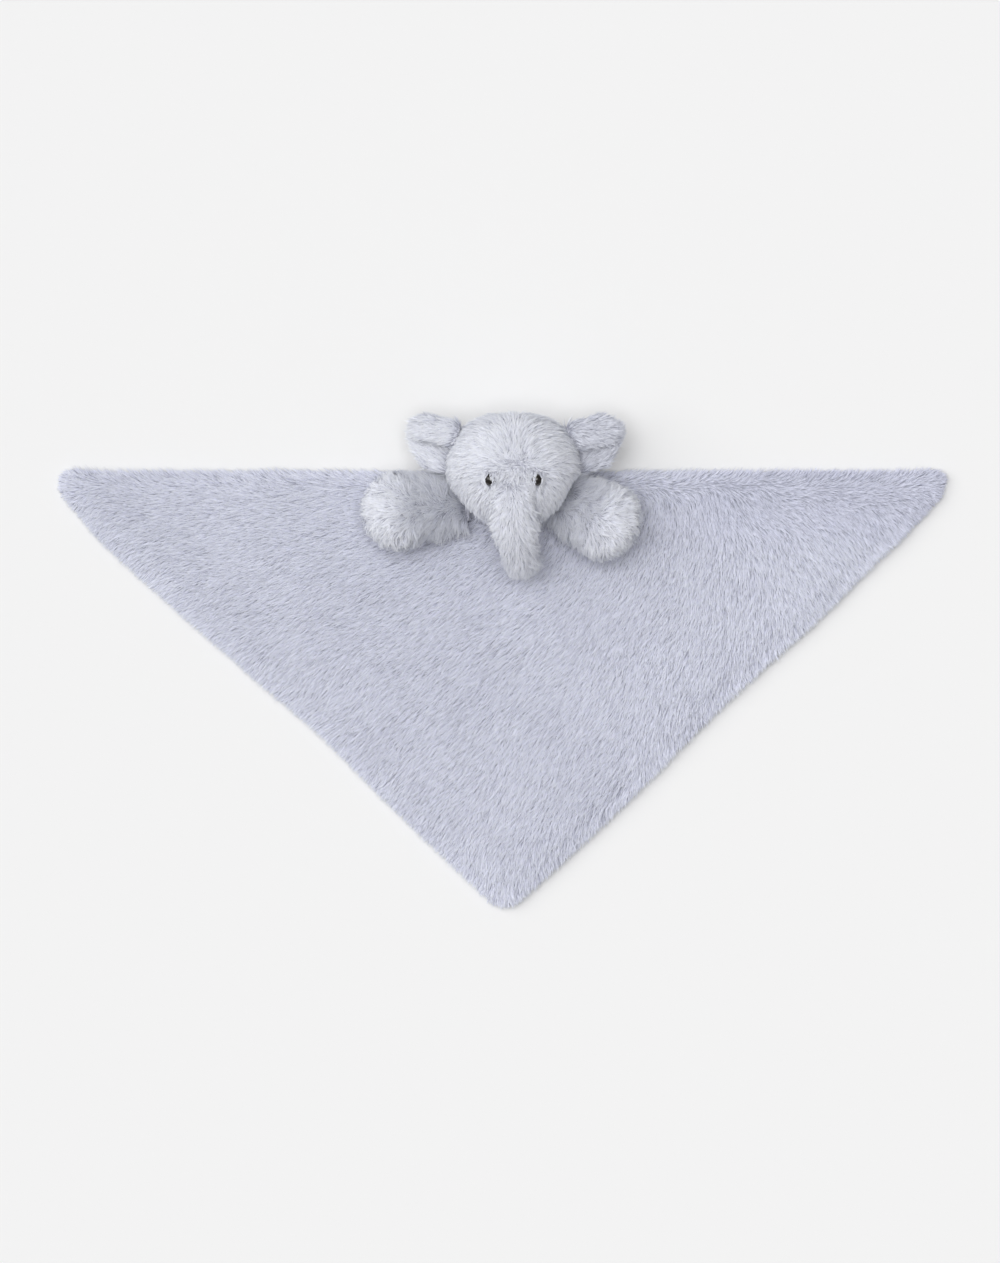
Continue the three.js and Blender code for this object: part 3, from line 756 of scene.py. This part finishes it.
def swirl(vectors, normals, points, angle, size, seed):
    """Turns directions on the surface by a smooth random angle, given in degrees."""
    turn = (np.radians(angle) * soft_noise(points, size, seed))[:, None]
    flat = along_surface(vectors + 1e-6, normals)
    return flat * np.cos(turn) + np.cross(normals, flat) * np.sin(turn)


def face_first(thick, thin):
    """A density that is thick on what faces the viewer and thin below and behind."""
    return lambda middle, normal: thin + (thick - thin) * smooth((normal[:, 2] + 0.35) / 0.5)


# Where the pile parts between the eyes, and the half sizes of the opening in front of an eye
PARTING = np.array([6.2, 15.0])
EYE_OPENING = np.array([1.6, 3.1])


def clear_of_eyes(strands):
    """Leaves out the hairs that would cross the opening in front of an eye."""
    corners, colours = strands
    keep = np.ones(len(corners), bool)
    for side in (-1, 1):
        centre = HEAD[:2] + [side * EYE_X, EYE_Y]
        away = (corners[:, :, :2] - centre) / EYE_OPENING
        inside = ((away**2).sum(-1) < 1) & (corners[:, :, 2] > HEAD[2])
        keep &= ~inside.any(1)
    return corners[keep], colours[keep]


def eye_frame(side):
    """Where an eye's axis meets the face, and its directions across, up and outward."""
    x, y, step = side * EYE_X, EYE_Y, 0.5
    slope_x = (head_height(x + step, y) - head_height(x - step, y)) / (2 * step)
    slope_y = (head_height(x, y + step) - head_height(x, y - step)) / (2 * step)
    axis = unit(np.array([-slope_x, -slope_y, 1.0]))
    across = unit(np.cross([0, 1.0, 0], axis))
    return HEAD + [x, y, head_height(x, y)], across, np.cross(axis, across), axis


def lash_hairs(side, count=420):
    """Pile that lies over both sides of an eye and leaves an upright opening between."""
    place, across, up, axis = eye_frame(side)
    edge = rng.choice([-1, 1], count)
    start = rng.uniform(-3.5, 5.0, count)
    fall = rng.uniform(2.0, 5.0, count)
    spread = rng.uniform(0, 1, count) * 3.2
    lie = rng.uniform(0.1, 1.2, count)
    fan = rng.normal(0.35, 0.35, count)
    lean = np.radians(rng.uniform(-50, 50, count))[:, None]
    rows = []
    for s, share in LONG_HAIR:
        v = start - fall * s
        opening = EYE_OPENING[0] * np.sqrt(np.maximum(0.04, 1 - (v / EYE_OPENING[1]) ** 2))
        u = edge * (opening + 0.1 + spread + np.maximum(fan * s, -0.5 * spread) * 2)
        dome = EYE_DOME * np.sqrt(np.maximum(0, 1 - (u * u + v * v) / EYE_RADIUS**2))
        outside = smooth((np.abs(u) - 2.4) / 2.4)
        height = dome * min(1, s * 4) + (0.35 + 0.3 * s) * lie + 0.4 * s
        height = height - 1.9 * (s == 0) - 1.5 * outside
        centre = place + u[:, None] * across + v[:, None] * up + height[:, None] * axis
        half = 0.17 * share * (np.cos(lean) * across + np.sin(lean) * axis)
        rows += [centre + half, centre - half] if share else [centre]
    return np.stack(rows, 1), strand_colours(LONG_HAIR, rng.random(count), rng.random(count))


head = head_form()
head_base = form_object("head", head, head_backing)
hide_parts("head_cover", "head_stuffing")
points, normals, _ = head.scatter(face_first(*HEAD_DENSITY), lambda p, n: n[:, 2] > -0.9)
comb = combed(points, HEAD_STROKES, 2.4)
comb[:, 2] = -0.4
away = np.linalg.norm((points[:, :2] - PARTING) / [1.5, 1], axis=1)
ruffled = (1 - smooth(away / 9)) * (points[:, 2] > HEAD[2])
comb = swirl(comb, normals, points, 16, 9, 11)
comb = swirl(comb, normals, points, 50 * ruffled, 4, 15)
facing = smooth((normals[:, 2] + 0.2) / 0.8)
x, y = points[:, :2].T
squeezed = smooth((x - 28) / 8) * smooth((14 - y) / 8) * smooth((y + 20) / 8)
length = HEAD_PILE * (1 - 0.15 * facing) * (1 - 0.55 * squeezed)
head_hairs = hairs(
    (points, normals, comb), length, LONG_HAIR, (25 - 12 * squeezed, 1), 0.36,
    tuft=1.9, pull=0.38, stray=7 + 75 * ruffled, roll=28, sway=14,
)
head_hairs = clear_of_eyes(head_hairs)
keep_between(head_hairs, BLANKET_TOP + 2)
head_hair = hair_object("head_pile", [head_hairs, lash_hairs(-1), lash_hairs(1)], head_pile)
for piece in (head_base, head_hair):
    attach(piece, "head")


# Limbs: sections along a smooth line through points
LINE_STEPS = 400
LIMB_SECTIONS = 60
LIMB_AROUND = 48


def limb_form(line, half_width, half_depth, round_from):
    """A limb with a round tip. Each point keeps its share of the length and its place round it."""
    line = np.array(line, float)
    steps = run_along(line, 0.5)
    fine = np.linspace(0, steps[-1], LINE_STEPS)
    curve = np.stack([through(list(zip(steps, column)), fine) for column in line.T], 1)
    run = run_along(curve)
    places = read_line(np.linspace(0, run[-1], LINE_STEPS + 1), run, curve)
    headings = unit(np.gradient(places, axis=0))
    t = 1 - (1 - np.linspace(0, 1, LIMB_SECTIONS)[:-1]) ** 1.6
    index = np.arange(LINE_STEPS + 1)
    centre = read_line(t * LINE_STEPS, index, places)
    forward = unit(read_line(t * LINE_STEPS, index, headings))
    side = unit(np.cross(forward, [0, 0, 1.0]))
    up = np.cross(side, forward)
    turn = full_turn(LIMB_AROUND)[:, None]
    rounding = np.sqrt(np.maximum(0, 1 - (np.maximum(t - round_from, 0) / (1 - round_from)) ** 2))
    width = (half_width(t) * rounding)[:, None, None] * np.cos(turn) * side[:, None]
    depth = (half_depth(t) * rounding)[:, None, None] * np.sin(turn) * up[:, None]
    form = ring_form(centre[0], centre[:, None] + width + depth, places[-1])
    form.share = np.concatenate([[0], np.repeat(t, LIMB_AROUND), [1]])
    form.forward = np.vstack([forward[:1], np.repeat(forward, LIMB_AROUND, 0), headings[-1:]])
    form.side = np.vstack([side[:1], np.repeat(side, LIMB_AROUND, 0), side[-1:]])
    form.across = np.concatenate([[0], np.tile(np.cos(turn[:, 0]), len(t)), [0]])
    return form


# Trunk: from between the eyes down on to the blanket
TRUNK_ROOT_Y = -6
TRUNK_ROOT_RISE = 24
TRUNK_REACH = 47.5
TRUNK_SIDEWAYS = 6
TRUNK_WIDTH = 21
TRUNK_THICKNESS = 20
TRUNK_LINE = [(0, 0, 0), (0.26, 0, 0.05), (0.56, 0.25, 0.28), (0.82, 0.72, 0.66), (1, 1, 1)]
TRUNK_WIDTHS = [(0, 0.7), (0.3, 0.92), (0.65, 1), (0.85, 0.98), (1, 0.8)]
TRUNK_DEPTHS = [(0, 0.5), (0.3, 0.85), (0.65, 1), (0.85, 0.92), (1, 0.8)]
TRUNK_SPREAD = [(0, 1.5), (0.15, 2.2), (0.34, 2.6), (0.55, 0.5), (0.7, 0), (1, 0)]
TRUNK_ROUND_FROM = 0.78


def trunk_form():
    tip_depth = TRUNK_THICKNESS * TRUNK_DEPTHS[-1][1]
    tip_z = BLANKET_TOP + 2 * CLEARANCE + tip_depth / 2 - HEAD[2]
    line = []
    for out, aside, fall in TRUNK_LINE:
        z = TRUNK_ROOT_RISE * (1 - fall) + tip_z * fall
        line.append(HEAD + [aside * TRUNK_SIDEWAYS, TRUNK_ROOT_Y - out * TRUNK_REACH, z])
    line[-1] = line[-1] + [0, INSET, 0]
    form = limb_form(
        line,
        lambda t: TRUNK_WIDTH / 2 * through(TRUNK_WIDTHS, t) - INSET + through(TRUNK_SPREAD, t),
        lambda t: TRUNK_THICKNESS / 2 * through(TRUNK_DEPTHS, t) - INSET,
        TRUNK_ROUND_FROM,
    )
    fan = 0.3 + 0.9 * (1 - smooth(form.share / 0.6))
    splay = fan * np.sign(form.across) * np.abs(form.across) ** 0.7
    form.comb = form.forward + splay[:, None] * form.side
    return form


def on_top_of_head(points, normals):
    """Leaves out roots that lie inside the head."""
    x, y, z = (points - HEAD).T
    s = np.clip(-y / (HEAD_LENGTH / 2), -0.999, 0.999)
    share = (x / head_half(s, HEAD_WIDTH)) ** 2 + (z / head_half(s, HEAD_DEPTH)) ** 2
    return (share > 0.9) | (np.abs(y) > HEAD_LENGTH / 2)


trunk = trunk_form()
trunk_base = form_object("trunk", trunk, head_backing)
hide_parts("trunk_cover", "trunk_stuffing")
# The roots that show, also those under the trunk when it is lifted
points, normals, comb = trunk.scatter(
    face_first(*TRUNK_DENSITY), lambda p, n: on_top_of_head(p, n) | (p[:, 1] < HEAD[1] - 10)
)
length = np.where(on_top_of_head(points, normals), TRUNK_PILE, TRUNK_UNDER_PILE)
ruffled = 1 - smooth(np.linalg.norm(points[:, :2] - PARTING, axis=1) / 26)
comb = swirl(comb, normals, points, 24 + 40 * ruffled, 5, 12)
trunk_hairs = hairs(
    (points, normals, comb), length, LONG_HAIR, (20, 0), 0.36,
    tuft=2.3, pull=0.58, stray=12 + 50 * ruffled, sway=30, roll=15,
)
trunk_hairs = clear_of_eyes(trunk_hairs)
trunk_hair = hair_object("trunk_pile", [trunk_hairs], head_pile)
for piece in (trunk_base, trunk_hair):
    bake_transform(piece)


# Arms: flat where they are sewn to the blanket, swelling to a round paw
ARM_ROOT_WIDTH = 26
ARM_ROOT_THICKNESS = 8
PAW_WIDTH = 41
PAW_THICKNESS = 36
PAW_FROM = 0.72
ARM_SWELL = [(0, 0), (0.2, 0.32), (0.5, 0.74), (PAW_FROM, 1), (1, 0.85)]
PAW_ROUND_FROM = 0.68

# Each arm's length, the place of its root and its direction
LEFT_ARM = (56, -20, -2, math.radians(190))
RIGHT_ARM = (50, 25.5, 0.5, math.radians(-27))
LEFT_ARM_STROKES = [
    (384, 477, 95), (373, 482, 130), (364, 497, 165), (359, 513, 185), (362, 529, 215), (371, 541, 235),
    (382, 549, 255), (393, 549, 272), (403, 538, 268), (393, 527, 250), (378, 510, 185), (389, 502, 205),
    (401, 482, 100), (412, 480, 118), (428, 488, 135), (439, 497, 140), (451, 504, 150), (423, 504, 170),
    (412, 513, 180), (439, 513, 182), (456, 513, 215), (451, 522, 215), (439, 531, 220), (423, 531, 230),
    (412, 529, 250), (412, 540, 262),
]
RIGHT_ARM_STROKES = [
    (607, 507, 10), (592, 493, 55), (617, 493, 50), (632, 503, 25), (642, 520, -5), (637, 540, -35),
    (623, 553, -60), (603, 560, -90), (583, 555, -110), (577, 538, -95), (578, 517, -35), (562, 500, -40),
    (570, 487, 0), (553, 520, -65), (562, 542, -85), (587, 478, 45), (603, 483, 50), (610, 525, -35),
    (595, 525, -55), (600, 540, -75), (590, 510, -20),
]


def direction(yaw):
    return np.array([math.cos(yaw), math.sin(yaw), 0])


def arm_form(length, x, y, yaw):
    def swell(root, paw, t):
        return root + (paw - root) * through(ARM_SWELL, t)

    def height(t):
        return swell(ARM_ROOT_THICKNESS, PAW_THICKNESS, np.array(min(t, PAW_FROM))) / 2

    ahead = direction(yaw)
    root = np.array([x, y, BLANKET_TOP + CLEARANCE])
    line = [root + ahead * length * t + [0, 0, height(t)] for t, _ in ARM_SWELL]
    line[-1] = line[-1] - INSET * ahead
    return limb_form(
        line,
        lambda t: swell(ARM_ROOT_WIDTH, PAW_WIDTH, t) / 2 - INSET,
        lambda t: swell(ARM_ROOT_THICKNESS, PAW_THICKNESS, t) / 2 - INSET,
        PAW_ROUND_FROM,
    )


arms = (("left", LEFT_ARM, LEFT_ARM_STROKES), ("right", RIGHT_ARM, RIGHT_ARM_STROKES))
for name, place, strokes in arms:
    length, x, y, yaw = place
    ahead = direction(yaw)
    root = np.array([x, y, BLANKET_TOP])
    arm = arm_form(*place)
    arm_base = form_object(f"{name}_arm", arm, head_backing)
    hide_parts(f"{name}_arm_cover", f"{name}_arm_stuffing")
    # No pile on the end that is sewn down
    points, normals, _ = arm.scatter(
        face_first(*ARM_DENSITY), lambda p, n: (n @ ahead > -0.6) | ((p - root) @ ahead > 1)
    )
    along = ((points - root) @ ahead) / length
    rough = 1 - smooth((along - 0.5) / 0.25)
    comb = combed(points, strokes, 4.5)
    comb[:, 2] = -0.35 + 0.5 * (1 - np.abs(normals[:, 2]))
    comb = swirl(comb, normals, points, 34 + 16 * rough, 7, 13)
    comb = swirl(comb, normals, points, 20 + 20 * rough, 3, 16)
    size = ARM_PILE * (0.82 + 0.35 * (1 - smooth((along - 0.1) / 0.5)))
    under = smooth((-normals[:, 2] - 0.5) / 0.4)
    arm_hairs = hairs(
        (points, normals, comb), size, LONG_HAIR, (17 + 3 * rough + 19 * under, 16 * under - 2), 0.38,
        tuft=2.7, pull=0.62, stray=15, curl=0.14, sway=34, roll=10,
    )
    keep_between(arm_hairs, BLANKET_TOP - 1)
    arm_hair = hair_object(f"{name}_arm_pile", [arm_hairs], head_pile)
    for piece in (arm_base, arm_hair):
        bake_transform(piece)


# Ears: two sewn layers, with the top folded forward
EAR_LOW = -1
EAR_HIGH = 19.5
EAR_DROP = 3
EAR_REACH = 27.4
EAR_LAYER = 2.5
EAR_RIM = 3
EAR_LENGTH = 40.5
EAR_PINCH = 0.12
EAR_CUP = 1.5
EAR_PROFILE = [(0, 0.5), (0.15, 0.74), (0.32, 0.95), (0.44, 1), (0.68, 0.7), (0.84, 0.86), (1, 0.62)]
EAR_FUZZ = 1.0
EAR_GRID = (28, 60)

# Each ear's side, the radius of its fold and how far it droops
LEFT_EAR = (-1, 4.2, math.radians(30))
RIGHT_EAR = (1, 3.4, math.radians(18))


def beside_head(y):
    return head_reach(y, HEAD_WIDTH, EAR_DROP, HEAD_DEPTH) + 2 * CLEARANCE


# The root's lower end, length and tilt, and how far the head swells out between its ends
EAR_ROOT, high = (np.array([beside_head(y), y]) for y in (EAR_LOW, EAR_HIGH))
EAR_SEAM = float(np.linalg.norm(high - EAR_ROOT))
EAR_TILT = math.atan2(EAR_ROOT[0] - high[0], high[1] - EAR_ROOT[1])
middle = (EAR_ROOT + high) / 2
EAR_BULGE = (beside_head(middle[1]) - middle[0]) * math.cos(EAR_TILT)


def ear_surface(a, b, side, radius, droop):
    """The ear's middle surface in its own frame: out from the root, up along it, and forward."""
    run = b * EAR_LENGTH
    turn = np.clip((run - EAR_SEAM) / radius, 0, math.pi)
    beyond = np.maximum(run - EAR_SEAM - math.pi * radius, 0)
    up = np.minimum(run, EAR_SEAM) + radius * np.sin(turn) - beyond
    middle = np.minimum(np.abs(2 * up / EAR_SEAM - 1), 1)
    fold = radius * (1 - np.cos(turn))
    start = EAR_BULGE * (1 - middle**2) - fold * math.tan(droop) - 1
    out = start + a * (EAR_REACH * through(EAR_PROFILE, b) - start)
    share = out / EAR_REACH
    forward = fold * (1 - EAR_PINCH * share) - EAR_CUP * share**2
    return np.stack([side * out, up, forward], -1)


def ear_turn(vectors, side, droop):
    """From the ear's own frame to the scene's directions."""
    c, s = math.cos(side * droop), math.sin(side * droop)
    bent = np.array([[c, 0, s], [0, 1, 0], [-s, 0, c]])
    c, s = math.cos(side * EAR_TILT), math.sin(side * EAR_TILT)
    lean = np.array([[c, -s, 0], [s, c, 0], [0, 0, 1]])
    return vectors @ (lean @ bent).T


def ear_form(side, radius, droop, face):
    columns, rows = EAR_GRID
    a = 0.5 - 0.5 * np.cos(np.linspace(0, np.pi, columns))
    a, b = np.meshgrid(a, np.linspace(0, 1, rows), indexing="ij")
    step = 1e-3

    def surface(a, b):
        return ear_surface(np.clip(a, 0, 1), np.clip(b, 0, 1), side, radius, droop)

    middle = surface(a, b)
    out = surface(a + step, b) - surface(a - step, b)
    up = surface(a, b + step) - surface(a, b - step)
    normal = unit(np.cross(out, up)) * side * face
    rim = np.minimum(np.minimum(a, 1 - a) * EAR_REACH, np.minimum(b, 1 - b) * EAR_LENGTH)
    full = 0.2 + 0.8 * np.sin(np.pi / 2 * np.clip(rim / EAR_RIM, 0, 1))
    inner = middle + normal * CLEARANCE / 2
    outer = inner + normal * ((EAR_LAYER - EAR_FUZZ) * full)[..., None]
    grid = np.arange(columns * rows).reshape(columns, rows)
    inner_faces = np.stack([grid[:-1, :-1], grid[:-1, 1:], grid[1:, 1:], grid[1:, :-1]], -1).reshape(-1, 4)
    outer_faces = inner_faces[:, ::-1] + grid.size
    border = np.concatenate([grid[:, 0], grid[-1, 1:], grid[-2::-1, -1], grid[0, -2:0:-1]])
    beyond = np.roll(border, -1)
    wall = np.stack([border, beyond, beyond + grid.size, border + grid.size], -1)
    points = ear_turn(np.vstack([inner.reshape(-1, 3), outer.reshape(-1, 3)]), side, droop)
    points = points + HEAD + [side * EAR_ROOT[0], EAR_ROOT[1], -EAR_DROP]
    form = Form(points, np.vstack([inner_faces, outer_faces, wall]), [])
    flow = unit(out.reshape(-1, 3)) + 0.35 * unit(up.reshape(-1, 3))
    form.comb = np.tile(ear_turn(flow, side, droop), (2, 1))
    return form


# The right ear's hairs are darkened to 0.7: painted shade, for the ear that lies in shade
for name, place, shade in (("left", LEFT_EAR, 1), ("right", RIGHT_EAR, 0.7)):
    side = place[0]
    layers, pile = [], []
    for layer, face in (("back", -1), ("lining", 1)):
        ear = ear_form(*place, face)
        base = form_object(f"{name}_ear_{layer}_layer", ear, head_backing)
        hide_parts(f"{name}_ear_{layer}")
        points, normals, comb = ear.scatter(face_first(*EAR_DENSITY), on_top_of_head)
        comb = swirl(comb, normals, points, 30, 8, 14)
        strands = hairs((points, normals, comb), EAR_PILE, LONG_HAIR, (28, 2), 0.36, tuft=1.7, pull=0.28)
        # Painted shade on the right ear's hairs
        strands[1][:, :, 0] *= shade
        pile.append(strands)
        # A layer's own area is half its surface
        layers.append((base, np.linalg.norm(ear.faces()[1], axis=1).sum() / 4 * MM**2))
    ear_hair = hair_object(f"{name}_ear_pile", pile, head_pile)
    for piece in (layers[0][0], layers[1][0], ear_hair):
        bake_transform(piece)


# Neck: a short gathered stub, its pleats running up to the head
NECK_Y = 4
NECK_BASE = 9.8
NECK_HEIGHT = 4
NECK_HALF_WIDTH = 14.4
NECK_HALF_DEPTH = 7.4
NECK_PLEATS = 18
PLEAT_DEPTH = 0.035
NECK_WAIST = 0.05
NECK_AROUND = 144

turn = full_turn(NECK_AROUND)
rings = []
for level in np.linspace(0, 1, 7):
    pleat = 1 + PLEAT_DEPTH * np.cos(NECK_PLEATS * turn) - NECK_WAIST * math.sin(math.pi * level)
    x = HEAD[0] + NECK_HALF_WIDTH * pleat * np.cos(turn)
    y = NECK_Y + NECK_HALF_DEPTH * pleat * np.sin(turn)
    rings.append(np.column_stack([x, y, np.full(len(turn), NECK_BASE + NECK_HEIGHT * level)]))
low, high = ([HEAD[0], NECK_Y, z] for z in (NECK_BASE, NECK_BASE + NECK_HEIGHT))
neck_surface = ring_form(low, np.array(rings), high)
neck = form_object("neck_gather", neck_surface, head_backing)
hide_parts("neck")
points, normals, _ = neck_surface.scatter(NECK_DENSITY, lambda p, n: np.abs(n[:, 2]) < 0.6)
comb = np.zeros_like(points)
comb[:, 2] = rng.choice([-1, 1], len(points))
neck_hairs = hairs((points, normals, comb), NECK_PILE, SHORT_HAIR, (35, 20), 0.38)
keep_between(neck_hairs, BLANKET_TOP - 1, HEAD_FLOOR + 0.6)
neck_pile = hair_object("neck_pile", [neck_hairs], head_pile)
for piece in (neck, neck_pile):
    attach(piece, "neck")


# Eyes: beads with a shank. The side's radii and heights run from the shank's end to the dome
EYE_SIDE = [(1.3, -7.5), (1.3, -1.2), (1.9, -0.8), (2.9, -0.8), (3.1, -0.62), (3.2, -0.3)]
EYE_AROUND = 48


def eye_form(side):
    place, across, up, axis = eye_frame(side)
    dome = np.linspace(0, np.pi / 2, 14)[:-1]
    profile = EYE_SIDE + [(EYE_RADIUS * math.cos(t), EYE_DOME * math.sin(t)) for t in dome]
    turn = full_turn(EYE_AROUND)[:, None]
    around = np.cos(turn) * across + np.sin(turn) * up
    rings = np.array([place + r * around + z * axis for r, z in profile])
    return ring_form(place + EYE_SIDE[0][1] * axis, rings, place + EYE_DOME * axis)


bead_look = {"Roughness": 0.16, "Coat Weight": 0.5, "Coat Roughness": 0.06}
bead = hard_material("eye_bead", 900.0, (20, 17, 15), (38, 32, 28), bead_look)
washer = hard_material("washer_plastic", 500.0, (222, 222, 220), (236, 236, 234), {"Roughness": 0.5})
for name, side in (("left", -1), ("right", 1)):
    eye = form_object(f"{name}_eye_bead", eye_form(side), bead)
    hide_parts(f"{name}_eye")
    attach(eye, "head")
    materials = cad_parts[f"{name}_eye_washer"].data.materials
    materials.clear()
    materials.append(washer)


# Light: a plain world, a soft key lamp from the upper left and a soft fill from nearly above
def sun(name, strength, width, source):
    lamp = bpy.data.lights.new(name, "SUN")
    lamp.energy = strength
    lamp.angle = math.radians(width)
    obj = new_object(name, lamp)
    obj.rotation_mode = "QUATERNION"
    obj.rotation_quaternion = Vector(source).to_track_quat("Z", "Y")


sun("key", 0.98, 50, (-0.9, 0.3, 1.0))
sun("fill", 1.75, 40, (-0.1, 0.1, 1.2))

WORLD_LIGHT = 0.24
BACKDROP = (243, 243, 243)

world = bpy.data.worlds.new("studio")
bpy.context.scene.world = world
world.use_nodes = True
tree = world.node_tree
background = tree.nodes["Background"]
set_inputs(background, {"Color": (1, 1, 1, 1), "Strength": WORLD_LIGHT})
seen = add_node(tree, "Background", {"Color": srgb(*BACKDROP), "Strength": 1.0})
choose = add_node(tree, "MixShader", {
    "Fac": add_node(tree, "LightPath").outputs["Is Camera Ray"],
    1: background.outputs["Background"],
    2: seen.outputs["Background"],
})
set_inputs(tree.nodes["World Output"], {"Surface": choose.outputs["Shader"]})


# Floor
FLOOR_COLOUR = (241, 241, 241)
FLOOR_HALF = 6000.0

floor_look, _, shader = new_material("floor")
set_inputs(shader, {"Base Color": srgb(*FLOOR_COLOUR), "Roughness": 1.0, "Specular IOR Level": 0.0})
corners = [(FLOOR_HALF * x, FLOOR_HALF * y, 0) for x, y in ((-1, -1), (1, -1), (1, 1), (-1, 1))]
floor = mesh_object("floor", fill_mesh("floor", corners, [np.array([[0, 1, 2, 3]])]), floor_look)


# Camera: straight down, with the top of the picture towards +Y. Its height and reach are in metres
CAMERA_HEIGHT = 4.0
CAMERA_REACH = 50
CAMERA_X = -2.1
CAMERA_Y = -72.6
SENSOR = 36

lens = bpy.data.cameras.new("camera")
lens.sensor_width = SENSOR
lens.lens = SENSOR * CAMERA_HEIGHT / (PICTURE_HEIGHT * PIXEL * MM)
lens.clip_end = CAMERA_REACH
camera = new_object("camera", lens)
camera.location = (CAMERA_X * MM, CAMERA_Y * MM, CAMERA_HEIGHT)
bpy.context.scene.camera = camera
bpy.context.scene.view_settings.view_transform = "Standard"
